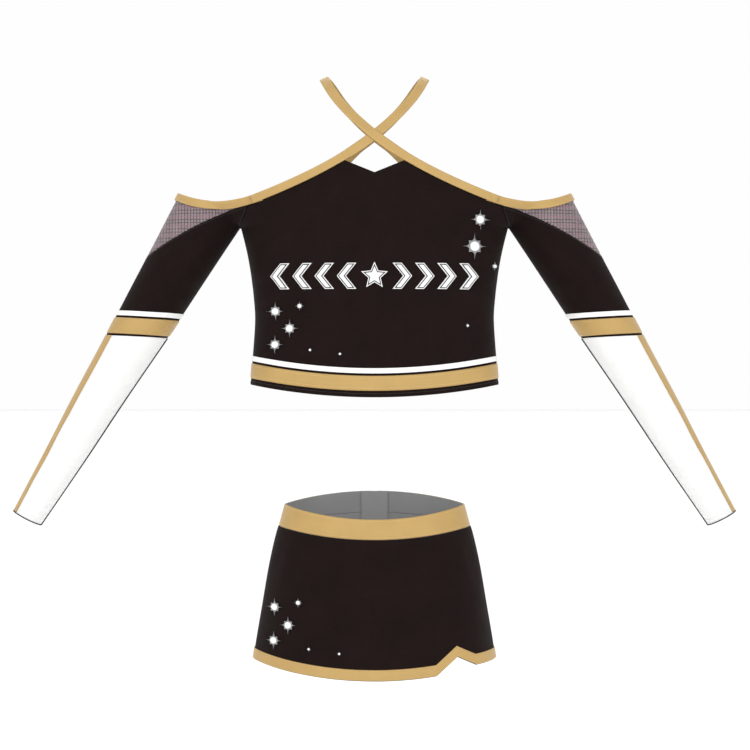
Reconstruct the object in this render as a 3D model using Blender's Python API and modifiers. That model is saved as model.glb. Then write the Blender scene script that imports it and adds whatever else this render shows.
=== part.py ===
"""Two-piece cheer uniform as worn: a cold-shoulder crop top and a mini skirt.

Metres, +Z up, the wearer faces -Y and the wearer's left is +X. The origin is on the body's
axis at armpit height. Every fabric piece, braid, applique and zip part is its own solid.
"""
import math

import bmesh
import bpy
from mathutils import Vector

# Cloth and trim thicknesses, and the clearance left between sewn layers.
FABRIC = 0.0012
BRAID = 0.0009
STRAP = 0.0016
GAP = 0.00035
SEAM_GAP = 0.0006
ARMHOLE_GAP = 0.0016
SPARK_LIFT = 0.0018
STRAP_LIFT = 0.0013
APPLIQUE_LIFT = 0.0009

# Bodice.
CHEST_HALF = 0.1896
RIB_HALF = 0.1697
HEM_HALF = 0.1760
RIB_Z = -0.1278
HEM_Z = -0.2221
HEM_DIP = 0.0177
HEM_DIP_START = -0.090
SHOULDER_SPREAD = 1.2
CHEST_FRONT = 0.094
BUST_FRONT = 0.099
UNDERBUST_FRONT = 0.082
BREAST_Z = 0.045
BACK_NECK = 0.088
BACK_HEM = 0.072
SECTION_POWER = 2.3

# Neckline: a curve from the armhole up to the far side's shoulder, and the notch under it.
ARMHOLE_TOP = (CHEST_HALF - 0.0174, 0.0362)
NECK_GUIDE_LOW = (0.0401, 0.0815)
NECK_GUIDE_HIGH = (-0.0426, 0.1463)
STRAP_TOP = (-0.0709, 0.2101)
NOTCH_Z = 0.0729
NOTCH_RISE = 0.407
STRAP_WIDTH_LOW = 0.0114
STRAP_WIDTH_HIGH = 0.0135
STRAP_FREE_LOW = 0.086
STRAP_FREE_HIGH = 0.112
STRAP_FOLD_LOW = 0.150
STRAP_FOLD_HIGH = 0.185
BACK_STRAP_RISE = 0.012

# Bodice braids, as side-seam heights, and the chest applique.
WHITE_BRAID_Z = (-0.1815, -0.1888)
GOLD_BRAID_Z = (-0.1921, -0.2130)
CHEST_BADGE_Z = -0.0711
CHEST_BADGE_HEIGHT = 0.0359
CHEVRON_COUNT = 4
CHEVRON_START = 0.0250
CHEVRON_PITCH = 0.0310
CHEVRON_ARM = 0.0125
CHEVRON_POINT = 0.0145
STAR_RADIUS = 0.0195

# Sleeve: a tapering tube hung from its top outer corner.
SLEEVE_CORNER = (CHEST_HALF + 0.0874, 0.0469)
SLEEVE_ANGLE = math.radians(27.64)
SLEEVE_LENGTH = 0.5066
SLEEVE_TOP_WIDTH = 0.0997
SLEEVE_TAPER = 0.1116
SLEEVE_OPENING_SPREAD = 1.0
SLEEVE_DEPTH_SHARE_TOP = 0.93
SLEEVE_DEPTH_SHARE_CUFF = 1.25
SLEEVE_NECK_START = 0.0041
SLEEVE_NECK_CURVE = 4.5
INSERT_SEAM_START = 0.1002
INSERT_SEAM_SLOPE = -1.85
INSERT_SEAM_CURVE = 5.0
INSERT_THICK = 0.0008
INSERT_REACH = 0.985
ARMHOLE_SHARE = 0.62
BAND_START = 0.1855
BAND_SLOPE = -0.46
SLEEVE_WHITE = (0.0, 0.0075)
SLEEVE_GOLD = (0.0108, 0.0358)
ELBOW_OFFSET = 0.0388
STRIPE_SHARE = 0.235
STRIPE_THICK = 0.0007
PIPING_SHARE = 0.03
PIPING_THICK = 0.0011
CUFF_BINDING_HEIGHT = 0.0016

# Skirt.
WAIST_HALF = 0.1278
BAND_HALF = 0.1363
SKIRT_HEM_HALF = 0.1718
WAIST_Z = -0.3912
BAND_Z = -0.4217
SKIRT_HEM_Z = -0.6092
WAIST_DEPTH = 0.075
SKIRT_DEPTH_SLOPE = 0.15
WAIST_DIP = 0.0189
BAND_DIP = 0.0166
SKIRT_HEM_DIP = 0.0228
WAIST_BACK_RISE = 0.0154
BAND_BACK_RISE = 0.0150
SKIRT_POWER = 2.15
SKIRT_TRIM = 0.0149
SLIT_START = 0.504
SLIT_PEAK = 0.674
SLIT_VALLEY = 0.825
SLIT_HEIGHT = 0.021
SLIT_VALLEY_RISE = 0.003

# Zips down the centre back.
TEETH_SLOT = 0.0012
TEETH_OUTER = 0.0034
PANEL_EDGE = 0.0045
CLOSED_EDGE = 0.0003
TAPE_OUTER = 0.0140
TEETH_THICK = 0.0018
TAPE_THICK = 0.0006
TAPE_GAP = 0.0011
SLIDER_LENGTH = 0.0105
SLIDER_HALF = 0.0036
PLATE = 0.0008
TAB_LENGTH = 0.0200
TAB_HALF = 0.0028
TOP_ZIP_Z = (0.0690, -0.2350)
SKIRT_ZIP_Z = (-0.3790, -0.5300)

# Foil sparkle motifs: centre (x, z) and ray length.
BODICE_SPARKS = {
    "left_high": (0.1470, 0.0085, 0.0148),
    "left_mid": (0.1390, -0.0290, 0.0185),
    "left_low": (0.1680, -0.0555, 0.0064),
    "right_high": (-0.1375, -0.1195, 0.0130),
    "right_mid": (-0.1180, -0.1435, 0.0130),
    "right_low": (-0.1385, -0.1660, 0.0130),
}
SKIRT_SPARKS = {
    "high": (-0.1395, -0.5340, 0.0125),
    "mid": (-0.1195, -0.5580, 0.0125),
    "low": (-0.1405, -0.5800, 0.0125),
}

BLACK = (0.0168, 0.0103, 0.0091)
GOLD = (0.6445, 0.4287, 0.1651)
WHITE = (0.90, 0.90, 0.90)
MESH_GREY = (0.2080, 0.1470, 0.1560)
FOIL = (0.80, 0.80, 0.82)
ZIP_METAL = (0.62, 0.62, 0.64)


def clear_scene():
    for obj in list(bpy.data.objects):
        bpy.data.objects.remove(obj, do_unlink=True)


def smooth(t):
    t = min(max(t, 0.0), 1.0)
    return t * t * (3.0 - 2.0 * t)


def mix(a, b, t):
    return a + (b - a) * t


def make_material(name, colour, roughness, metallic=0.0):
    material = bpy.data.materials.new(name)
    material.use_nodes = True
    shader = material.node_tree.nodes["Principled BSDF"]
    shader.inputs["Base Color"].default_value = (*colour, 1.0)
    shader.inputs["Roughness"].default_value = roughness
    shader.inputs["Metallic"].default_value = metallic
    return material


def bisect_edge(inside, low, high):
    """Largest parameter between low and high for which inside() still holds."""
    for _ in range(40):
        middle = 0.5 * (low + high)
        if inside(middle):
            low = middle
        else:
            high = middle
    return low


# ---- body form under the top ------------------------------------------------------------


def torso_half(z):
    if z > 0.0:
        return CHEST_HALF + SHOULDER_SPREAD * z
    if z > RIB_Z:
        return RIB_HALF + (CHEST_HALF - RIB_HALF) * (1.0 - z / RIB_Z) ** 1.7
    share = (z - RIB_Z) / (HEM_Z - RIB_Z)
    return RIB_HALF + (HEM_HALF - RIB_HALF) * share ** 1.3


def front_depth(z):
    if z > BREAST_Z:
        share = min((z - BREAST_Z) / (STRAP_TOP[1] - BREAST_Z), 1.0)
        return CHEST_FRONT * (1.0 - share ** 1.8) ** (1.0 / 1.8)
    if z > -0.05:
        return mix(CHEST_FRONT, BUST_FRONT, smooth((BREAST_Z - z) / 0.095))
    return mix(BUST_FRONT, UNDERBUST_FRONT, smooth((-0.05 - z) / 0.17))


def back_depth(z):
    if z > NOTCH_Z:
        share = min((z - NOTCH_Z) / (STRAP_TOP[1] - NOTCH_Z), 1.0)
        return BACK_NECK * (1.0 - share ** 1.8) ** (1.0 / 1.8)
    slope = (BACK_NECK - BACK_HEM) / (NOTCH_Z - HEM_Z)
    return BACK_NECK + slope * (z - NOTCH_Z)


def section(s):
    s = min(abs(s), 1.0)
    return (1.0 - s ** SECTION_POWER) ** (1.0 / SECTION_POWER)


def sleeve_width(along):
    if along < 0.0:
        return SLEEVE_TOP_WIDTH - SLEEVE_OPENING_SPREAD * along
    return SLEEVE_TOP_WIDTH - SLEEVE_TAPER * along


def sleeve_depth(along, share):
    if share <= 0.0 or share >= 1.0:
        return 0.0
    ratio = mix(SLEEVE_DEPTH_SHARE_TOP, SLEEVE_DEPTH_SHARE_CUFF, max(along, 0.0) / SLEEVE_LENGTH)
    half = 0.5 * sleeve_width(max(along, 0.0)) * ratio
    return half * 2.0 * math.sqrt(share * (1.0 - share))


def to_sleeve(x, z):
    """Distance down the sleeve and in from its outer edge, for the +X sleeve."""
    dx = x - SLEEVE_CORNER[0]
    dz = z - SLEEVE_CORNER[1]
    sin_a = math.sin(SLEEVE_ANGLE)
    cos_a = math.cos(SLEEVE_ANGLE)
    return dx * sin_a - dz * cos_a, -dx * cos_a - dz * sin_a


def from_sleeve(along, across):
    sin_a = math.sin(SLEEVE_ANGLE)
    cos_a = math.cos(SLEEVE_ANGLE)
    x = SLEEVE_CORNER[0] + along * sin_a - across * cos_a
    z = SLEEVE_CORNER[1] - along * cos_a - across * sin_a
    return x, z


def cover_depth(x, z, back):
    """Depth of the cloth in front of (or behind) the body's mid plane."""
    x = abs(x)
    s = x / torso_half(z)
    torso = 0.0
    if s < 1.0:
        torso = (back_depth(z) if back else front_depth(z)) * section(s)
    along, across = to_sleeve(x, z)
    arm = 0.0
    if z > -0.09:
        arm = sleeve_depth(along, across / sleeve_width(along))
    return (torso ** 4 + arm ** 4) ** 0.25


def neck_point(t):
    """Point on the strap's centre line, from the armhole (0) to the shoulder top (1)."""
    guides = (ARMHOLE_TOP, NECK_GUIDE_LOW, NECK_GUIDE_HIGH, STRAP_TOP)
    weights = ((1 - t) ** 3, 3 * (1 - t) ** 2 * t, 3 * (1 - t) * t * t, t ** 3)
    x = sum(w * g[0] for w, g in zip(weights, guides))
    z = sum(w * g[1] for w, g in zip(weights, guides))
    return x, z


def neck_height(x):
    """Height of the panel's top edge at half width x, between the notch and the armhole."""
    t = bisect_edge(lambda u: neck_point(u)[0] > x, 0.0, 1.0)
    return min(neck_point(t)[1], NOTCH_Z + NOTCH_RISE * x)


def armhole_side(x, z):
    """Positive on the sleeve's side of the short armhole seam."""
    run = CHEST_HALF - ARMHOLE_TOP[0]
    return (x - CHEST_HALF) * ARMHOLE_TOP[1] + z * run


def under_neckline(s, z):
    x = s * torso_half(z)
    if armhole_side(x, z) > 0.0:
        return False
    return x >= ARMHOLE_TOP[0] or z < neck_height(x)


def hem_dip(q, s):
    return HEM_DIP * smooth((HEM_DIP_START - q) / 0.09) * (1.0 - s * s)


def torso_point(s, q, back, lift_edge=0.0003):
    x = s * torso_half(q)
    z = q - hem_dip(q, s)
    depth = (back_depth(z) if back else front_depth(z)) * section(s)
    if q > -0.09:
        depth = cover_depth(x, z, back)
    depth = max(depth, lift_edge)
    return Vector((x, depth if back else -depth, z))


# ---- solid builders ---------------------------------------------------------------------


def shell(name, rows, material, parts, thickness=FABRIC, lift=0.0, closed=False,
          outward=True, centre=None):
    """A sheet through rows of points, lifted along its normals and given a thickness."""
    count_v = len(rows)
    count_u = len(rows[0])
    mesh = bpy.data.meshes.new(name)
    work = bmesh.new()
    bmesh.ops.create_grid(work, x_segments=count_u - 1, y_segments=count_v - 1, size=1.0)
    work.verts.ensure_lookup_table()
    for index, vert in enumerate(work.verts):
        vert.co = rows[index // count_u][index % count_u]
    if closed:
        bmesh.ops.remove_doubles(work, verts=work.verts, dist=0.00005)
    finish_sheet(work, mesh, centre, lift)
    return solid(name, mesh, material, parts, thickness, outward)


def finish_sheet(work, mesh, centre, lift):
    bmesh.ops.recalc_face_normals(work, faces=work.faces)
    work.normal_update()
    facing = 0.0
    for face in work.faces:
        middle = face.calc_center_median()
        core = centre(middle) if centre else Vector((0.0, 0.0, middle.z))
        facing += face.normal.dot(middle - core) * face.calc_area()
    if facing < 0.0:
        bmesh.ops.reverse_faces(work, faces=work.faces)
        work.normal_update()
    moves = [vert.normal * lift for vert in work.verts]
    for vert, move in zip(work.verts, moves):
        vert.co += move
    work.to_mesh(mesh)
    work.free()


def solid(name, mesh, material, parts, thickness, outward):
    obj = bpy.data.objects.new(name, mesh)
    parts.objects.link(obj)
    obj.data.materials.append(material)
    modifier = obj.modifiers.new("Thickness", "SOLIDIFY")
    modifier.thickness = thickness
    modifier.offset = 1.0 if outward else -1.0
    modifier.use_even_offset = False
    return obj


def star_plate(name, radii, place, material, parts, thickness, lift):
    """A flat star of given tip radii, laid onto the surface by place(x, z)."""
    work = bmesh.new()
    hub = work.verts.new((0.0, 0.0, 0.0))
    ring = []
    for index, radius in enumerate(radii):
        angle = 2.0 * math.pi * index / len(radii)
        ring.append(work.verts.new((radius * math.sin(angle), 0.0, radius * math.cos(angle))))
    for index, vert in enumerate(ring):
        work.faces.new((hub, vert, ring[(index + 1) % len(ring)]))
    bmesh.ops.subdivide_edges(work, edges=work.edges, cuts=1, use_grid_fill=True)
    for vert in work.verts:
        vert.co = place(vert.co.x, vert.co.z)
    mesh = bpy.data.meshes.new(name)
    finish_sheet(work, mesh, None, lift)
    return solid(name, mesh, material, parts, thickness, True)


def box(name, low, high, to_world, material, parts):
    """A box between two corners of a local frame."""
    work = bmesh.new()
    bmesh.ops.create_cube(work, size=1.0)
    for vert in work.verts:
        local = [mix(low[k], high[k], vert.co[k] + 0.5) for k in range(3)]
        vert.co = to_world(Vector(local))
    mesh = bpy.data.meshes.new(name)
    bmesh.ops.recalc_face_normals(work, faces=work.faces)
    work.to_mesh(mesh)
    work.free()
    obj = bpy.data.objects.new(name, mesh)
    parts.objects.link(obj)
    obj.data.materials.append(material)
    return obj


# ---- bodice -----------------------------------------------------------------------------


def torso_columns(count):
    columns = [math.sin(0.5 * math.pi * k / count) for k in range(count + 1)]
    return columns


def torso_rows(columns, back, count, edge=None):
    """Rows down a panel: close together near the armhole, then one at each braid edge."""
    rows = []
    for r in range(count + 1):
        share = (r / count) ** 1.4
        rows.append([mix(bodice_top(abs(s)), WHITE_BRAID_Z[0], share) for s in columns])
    for q in (WHITE_BRAID_Z[1], GOLD_BRAID_Z[0], GOLD_BRAID_Z[1], HEM_Z):
        rows.append([q for _ in columns])
    panel = []
    for heights in rows:
        row = [torso_point(s, q, back) for s, q in zip(columns, heights)]
        if edge is not None:
            row[0].x = edge
        panel.append(row)
    return panel


def bodice_top(s):
    return bisect_edge(lambda z: under_neckline(s, z), -0.02, 0.12)


def build_bodice(mats, parts):
    half = torso_columns(15)
    notch_s = 0.048 / torso_half(0.0915)
    half = sorted(set(half + [notch_s]))
    front = [-s for s in reversed(half[1:])] + half
    rows = torso_rows(front, False, 12)
    shell("front_bodice", rows, mats["black"], parts, outward=False)
    for side, name in ((1, "back_bodice_left"), (-1, "back_bodice_right")):
        columns = [side * s for s in half]
        rows = torso_rows(columns, True, 8, side * PANEL_EDGE)
        shell(name, rows, mats["black"], parts, outward=False)


def bodice_band(name, span, material, parts):
    """A braid sewn round the hem, open at the centre back."""
    half = torso_columns(15)
    front = [-s for s in reversed(half[1:])] + half
    rows = []
    for q in span:
        left = [torso_point(s, q, True) for s in half[:-1]]
        left[0].x = PANEL_EDGE
        right = [torso_point(-s, q, True) for s in half[:-1]]
        right[0].x = -PANEL_EDGE
        middle = [torso_point(s, q, False, 0.0) for s in front]
        rows.append(right + middle + list(reversed(left)))
    shell(name, rows, material, parts, thickness=BRAID, lift=GAP)


def strap_rows(side):
    """Rows across a strap from the front armhole over the far shoulder to the back one."""
    count = 24
    halves = []
    for back in (False, True):
        rows = []
        for k in range(count + 1):
            t = math.sin(0.5 * math.pi * k / count)
            x, z = neck_point(t)
            x2, z2 = neck_point(min(t + 0.001, 1.0))
            x1, z1 = neck_point(max(t - 0.001, 0.0))
            run = math.hypot(x2 - x1, z2 - z1)
            across = (-(z2 - z1) / run, (x2 - x1) / run)
            free = smooth((z - STRAP_FREE_LOW) / (STRAP_FREE_HIGH - STRAP_FREE_LOW))
            width = mix(STRAP_WIDTH_LOW, STRAP_WIDTH_HIGH, free)
            fold = smooth((z - STRAP_FOLD_LOW) / (STRAP_FOLD_HIGH - STRAP_FOLD_LOW))
            own = back_depth(z) if back else front_depth(z)
            rise = 0.0
            if back:
                rise = BACK_STRAP_RISE * free * smooth(own / 0.05)
            over = 0.0
            if side > 0:
                over = (STRAP + 2.0 * GAP) * smooth((0.036 - abs(x)) / 0.020)
            row = []
            for w in (-0.5, 0.5):
                px = x + across[0] * w * width
                pz = z + across[1] * w * width
                depth = mix(cover_depth(px, pz, back), own, fold) + over
                row.append(Vector((side * px, depth if back else -depth, pz + rise)))
            rows.append(row)
        halves.append(rows)
    return halves[0] + list(reversed(halves[1][:-1]))


def strap_core(point):
    """Inside of a strap: below it at the shoulder, towards the body's axis elsewhere."""
    return Vector((point.x * 0.8, 0.0, min(point.z, 0.15)))


def build_straps(mats, parts):
    for side, name in ((1, "neck_strap_left"), (-1, "neck_strap_right")):
        rows = strap_rows(side)
        shell(name, rows, mats["gold"], parts, thickness=STRAP, lift=STRAP_LIFT, centre=strap_core)


def on_bodice(x0, z0):
    def place(x, z):
        return Vector((x0 + x, -cover_depth(x0 + x, z0 + z, False), z0 + z))
    return place


def build_applique(mats, parts):
    star = [STAR_RADIUS, 0.46 * STAR_RADIUS] * 5
    star_plate("chest_star", star, on_bodice(0.0, CHEST_BADGE_Z), mats["white"], parts,
               BRAID, APPLIQUE_LIFT)
    half = 0.5 * CHEST_BADGE_HEIGHT
    for side, word in ((1, "left"), (-1, "right")):
        for index in range(CHEVRON_COUNT):
            start = CHEVRON_START + index * CHEVRON_PITCH
            rows = []
            for k in range(-2, 3):
                v = k / 2.0
                inner = start + (1.0 - abs(v)) * CHEVRON_POINT
                row = []
                for share in (0.0, 1.0):
                    x = side * (inner + share * CHEVRON_ARM)
                    row.append(on_bodice(0.0, CHEST_BADGE_Z)(x, v * half))
                rows.append(row)
            shell(f"chest_chevron_{word}_{index + 1}", rows, mats["white"], parts,
                  thickness=BRAID, lift=APPLIQUE_LIFT)


def spark_radii(ray):
    return [ray, 0.24 * ray] * 4


def build_sparks(mats, parts):
    for word, (x, z, ray) in BODICE_SPARKS.items():
        star_plate(f"bodice_spark_{word}", spark_radii(ray), on_bodice(x, z), mats["foil"],
                   parts, 0.0006, SPARK_LIFT)
    for word, (x, z, ray) in SKIRT_SPARKS.items():
        star_plate(f"skirt_spark_{word}", spark_radii(ray), on_skirt(x, z), mats["foil"],
                   parts, 0.0006, SPARK_LIFT)


# ---- sleeves ----------------------------------------------------------------------------
# Paths round a sleeve take f, from 0 at the outer fold to 1 at the underarm fold, and give
# the distance down the sleeve and the distance in from its outer edge.


def sleeve_cloth(along, across, side, back):
    width = sleeve_width(along)
    x, z = from_sleeve(along, across)
    depth = sleeve_depth(along, across / width)
    if z > -0.09:
        depth = cover_depth(x, z, back)
    if across < 1e-6 or across > width - 5e-5:
        depth = 0.0
    return Vector((side * x, depth if back else -depth, z))


def ring_across(f, along):
    return 0.5 * (1.0 - math.cos(math.pi * f)) * sleeve_width(along)


def neck_path(f):
    across = to_sleeve(*ARMHOLE_TOP)[1] * (1.0 - math.cos(0.5 * math.pi * f))
    return SLEEVE_NECK_START - SLEEVE_NECK_CURVE * across * across, across


def insert_seam(across):
    along = INSERT_SEAM_START + INSERT_SEAM_SLOPE * across + INSERT_SEAM_CURVE * across ** 2
    return along, across


def on_sleeve_side(across):
    x, z = from_sleeve(*insert_seam(across))
    return armhole_side(x - ARMHOLE_GAP, z) > 0.0


def insert_path(f):
    end = bisect_edge(on_sleeve_side, 0.05, 0.12)
    return insert_seam(end * (1.0 - math.cos(0.5 * math.pi * f)))


def upper_top_path(f):
    """Insert seam down from the fold, then the armhole seam down to the armpit."""
    if f < ARMHOLE_SHARE:
        along, across = insert_path(f / ARMHOLE_SHARE)
        return along + 2.0 * SEAM_GAP, across
    along, across = insert_path(1.0)
    share = math.sin(0.5 * math.pi * (f - ARMHOLE_SHARE) / (1.0 - ARMHOLE_SHARE))
    armpit = to_sleeve(CHEST_HALF + ARMHOLE_GAP, 0.0)
    return mix(along + 2.0 * SEAM_GAP, armpit[0], share), mix(across, armpit[1], share)


def band_path(offset):
    def path(f):
        along = BAND_START
        for _ in range(12):
            along = BAND_START + BAND_SLOPE * ring_across(f, along) + offset
        return along, ring_across(f, along)
    return path


def level_path(along):
    return lambda f: (along, ring_across(f, along))


def ring_positions(count):
    turn = [2.0 * k / count for k in range(count + 1)]
    return [(u, False) if u <= 1.0 else (2.0 - u, True) for u in turn]


def wrap_positions(limit, count):
    """Round the outer fold, from the front limit to the back one."""
    return [(limit * abs(k) / count, k > 0) for k in range(-count, count + 1)]


def underarm_positions(limit):
    return [(1.0 - limit, False), (1.0, False), (1.0 - limit, True)]


def sleeve_rows(positions, top, low, side, count):
    rows = []
    for r in range(count + 1):
        row = []
        for f, back in positions:
            start, end = top(f), low(f)
            along = mix(start[0], end[0], r / count)
            across = mix(start[1], end[1], r / count)
            row.append(sleeve_cloth(along, across, side, back))
        rows.append(row)
    return rows


def binding_rows(side):
    """Binding centred on the open edge, its width square to that edge."""
    rows = []
    for w in (-0.5, 0.5):
        row = []
        for f, back in wrap_positions(INSERT_REACH, 16):
            along, across = neck_path(f)
            slope = -2.0 * SLEEVE_NECK_CURVE * across
            step = w * STRAP_WIDTH_LOW / math.hypot(1.0, slope)
            row.append(sleeve_cloth(along + step, across - step * slope, side, back))
        rows.append(row)
    return rows


def sleeve_axis(side):
    def core(point):
        along, _ = to_sleeve(abs(point.x), point.z)
        x, z = from_sleeve(along, 0.5 * sleeve_width(max(along, 0.0)))
        return Vector((side * x, 0.0, z))
    return core


def build_sleeve(side, word, mats, parts):
    core = sleeve_axis(side)
    ring = ring_positions(24)
    elbow = band_path(ELBOW_OFFSET)
    below = band_path(ELBOW_OFFSET + GAP)
    cuff_edge = level_path(SLEEVE_LENGTH)
    cuff_top = level_path(SLEEVE_LENGTH - CUFF_BINDING_HEIGHT)
    trim_end = level_path(SLEEVE_LENGTH - CUFF_BINDING_HEIGHT - GAP)

    def add(label, positions, top, low, count, material, **kw):
        rows = sleeve_rows(positions, top, low, side, count)
        shell(f"{word}_{label}", rows, mats[material], parts, centre=core, **kw)

    add("upper_sleeve", ring, upper_top_path, elbow, 7, "black", closed=True, outward=False)
    add("mesh_insert", wrap_positions(INSERT_REACH, 16), neck_path, insert_path, 5, "mesh",
        thickness=INSERT_THICK, outward=False)
    shell(f"{word}_sleeve_binding", binding_rows(side), mats["gold"], parts,
          thickness=STRAP, lift=STRAP_LIFT, centre=core)
    for label, span, material in (("sleeve_white_braid", SLEEVE_WHITE, "white"),
                                  ("sleeve_gold_braid", SLEEVE_GOLD, "gold")):
        add(label, ring, band_path(span[0]), band_path(span[1]), 1, material,
            closed=True, thickness=BRAID, lift=GAP)
    add("lower_sleeve", ring, below, cuff_edge, 4, "white", closed=True, outward=False)
    add("side_stripe", wrap_positions(STRIPE_SHARE, 3), below, trim_end, 4, "gold",
        thickness=STRIPE_THICK, lift=GAP)
    add("underarm_piping", underarm_positions(PIPING_SHARE), below, trim_end, 4, "black",
        thickness=PIPING_THICK, lift=GAP)
    add("cuff_binding", ring, cuff_top, cuff_edge, 1, "black", closed=True,
        thickness=PIPING_THICK, lift=GAP)


# ---- skirt ------------------------------------------------------------------------------


def skirt_half(q):
    if q > BAND_Z:
        return mix(WAIST_HALF, BAND_HALF, (WAIST_Z - q) / (WAIST_Z - BAND_Z))
    share = (BAND_Z - q) / (BAND_Z - SKIRT_HEM_Z)
    return mix(BAND_HALF, SKIRT_HEM_HALF, share ** 0.8)


def skirt_dip(q):
    if q > BAND_Z:
        return mix(WAIST_DIP, BAND_DIP, (WAIST_Z - q) / (WAIST_Z - BAND_Z))
    return mix(BAND_DIP, SKIRT_HEM_DIP, (BAND_Z - q) / (BAND_Z - SKIRT_HEM_Z))


def skirt_rise(q):
    if q > BAND_Z:
        return mix(WAIST_BACK_RISE, BAND_BACK_RISE, (WAIST_Z - q) / (WAIST_Z - BAND_Z))
    return mix(BAND_BACK_RISE, 0.0, (BAND_Z - q) / (BAND_Z - SKIRT_HEM_Z))


def skirt_depth(z):
    return WAIST_DEPTH + SKIRT_DEPTH_SLOPE * (WAIST_Z - z)


def skirt_point(angle, q, up=0.0):
    """Angle 0 is the front centre and +90 degrees the wearer's left side."""
    s = math.copysign(abs(math.sin(angle)) ** (2.0 / SKIRT_POWER), math.sin(angle))
    c = math.copysign(abs(math.cos(angle)) ** (2.0 / SKIRT_POWER), math.cos(angle))
    tilt = -skirt_dip(q) if c > 0.0 else skirt_rise(q)
    z = q + tilt * (1.0 - s * s) + up
    return Vector((skirt_half(q) * s, -skirt_depth(z) * c, z))


def on_skirt(x0, z0):
    def place(x, z):
        height = z0 + z
        q = height + 0.01
        for _ in range(6):
            s = min(abs(x0 + x) / skirt_half(q), 1.0)
            q = height + skirt_dip(q) * (1.0 - s * s)
        depth = skirt_depth(height) * (1.0 - s ** SKIRT_POWER) ** (1.0 / SKIRT_POWER)
        return Vector((x0 + x, -depth, height))
    return place


def slit_up(angle):
    """Rise of the hem at the wearer's left front, where it is cut to a peak."""
    s = abs(math.sin(angle)) ** (2.0 / SKIRT_POWER)
    if math.cos(angle) < 0.0 or math.sin(angle) < 0.0 or s < SLIT_START:
        return 0.0
    if s < SLIT_PEAK:
        return SLIT_HEIGHT * (s - SLIT_START) / (SLIT_PEAK - SLIT_START)
    if s < SLIT_VALLEY:
        return mix(SLIT_HEIGHT, SLIT_VALLEY_RISE, (s - SLIT_PEAK) / (SLIT_VALLEY - SLIT_PEAK))
    return mix(SLIT_VALLEY_RISE, 0.0, (s - SLIT_VALLEY) / (1.0 - SLIT_VALLEY))


def skirt_angles():
    angles = [math.radians(-180.0 + 7.5 * k) for k in range(49)]
    for s in (SLIT_START, SLIT_PEAK, SLIT_VALLEY):
        extra = math.asin(s ** (SKIRT_POWER / 2.0))
        near = min(range(len(angles)), key=lambda k: abs(angles[k] - extra))
        angles[near] = extra
    return angles


def skirt_rows(q_top, q_low, count, slit_share):
    rows = []
    angles = skirt_angles()
    for r in range(count + 1):
        share = r / count
        row = []
        for index, angle in enumerate(angles):
            up = slit_up(angle) * mix(slit_share[0], slit_share[1], share)
            point = skirt_point(angle, mix(q_top, q_low, share), up)
            if index in (0, len(angles) - 1):
                side = -1.0 if index == 0 else 1.0
                point.x = side * back_edge(point.z)
            row.append(point)
        rows.append(row)
    return rows


def back_edge(z):
    """Half width of the centre-back opening: the zip's slot, closing to a seam below it."""
    return mix(PANEL_EDGE, CLOSED_EDGE, smooth((SKIRT_ZIP_Z[1] - 0.026 - z) / 0.012))


def build_skirt(mats, parts):
    shell("waistband", skirt_rows(WAIST_Z, BAND_Z, 2, (0, 0)), mats["gold"], parts,
          outward=False)
    rows = skirt_rows(BAND_Z - GAP, SKIRT_HEM_Z, 8, (0, 1))
    shell("skirt_body", rows, mats["black"], parts, outward=False)
    rows = skirt_rows(SKIRT_HEM_Z + SKIRT_TRIM, SKIRT_HEM_Z + 0.0004, 1, (1, 1))
    shell("hem_trim", rows, mats["gold"], parts, thickness=BRAID, lift=GAP)


# ---- zips -------------------------------------------------------------------------------


def zip_frame(z_top, z_low, depth):
    """Local frame: x across, y out of the back, z up the zip, from the slider's end."""
    top = Vector((0.0, depth(z_top), z_top))
    low = Vector((0.0, depth(z_low), z_low))
    up = (top - low).normalized()
    out = Vector((1.0, 0.0, 0.0)).cross(up)
    out = out if out.y > 0.0 else -out
    length = (top - low).length

    def to_world(local):
        return top + Vector((local.x, 0.0, 0.0)) + out * local.y + up * local.z
    return to_world, length, up


def build_slider(name, to_world, mats, parts):
    """Slider of two plates joined by a post that runs in the slot between the teeth."""
    half_teeth = 0.5 * TEETH_THICK
    inner = -0.5 * FABRIC - half_teeth - GAP
    outer = -0.5 * FABRIC + half_teeth + GAP
    profile = [
        (-SLIDER_HALF, outer), (-SLIDER_HALF, outer + PLATE), (SLIDER_HALF, outer + PLATE),
        (SLIDER_HALF, outer), (TEETH_SLOT - GAP, outer), (TEETH_SLOT - GAP, inner),
        (SLIDER_HALF, inner), (SLIDER_HALF, inner - PLATE), (-SLIDER_HALF, inner - PLATE),
        (-SLIDER_HALF, inner), (-TEETH_SLOT + GAP, inner), (-TEETH_SLOT + GAP, outer),
    ]
    work = bmesh.new()
    ring = [work.verts.new(to_world(Vector((x, y, -SLIDER_LENGTH)))) for x, y in profile]
    face = work.faces.new(ring)
    lift = to_world(Vector((0.0, 0.0, SLIDER_LENGTH))) - to_world(Vector((0.0, 0.0, 0.0)))
    made = bmesh.ops.extrude_face_region(work, geom=[face])
    moved = [item for item in made["geom"] if isinstance(item, bmesh.types.BMVert)]
    bmesh.ops.translate(work, vec=lift, verts=moved)
    bmesh.ops.recalc_face_normals(work, faces=work.faces)
    mesh = bpy.data.meshes.new(name)
    work.to_mesh(mesh)
    work.free()
    obj = bpy.data.objects.new(name, mesh)
    parts.objects.link(obj)
    obj.data.materials.append(mats["metal"])
    return obj


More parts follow.
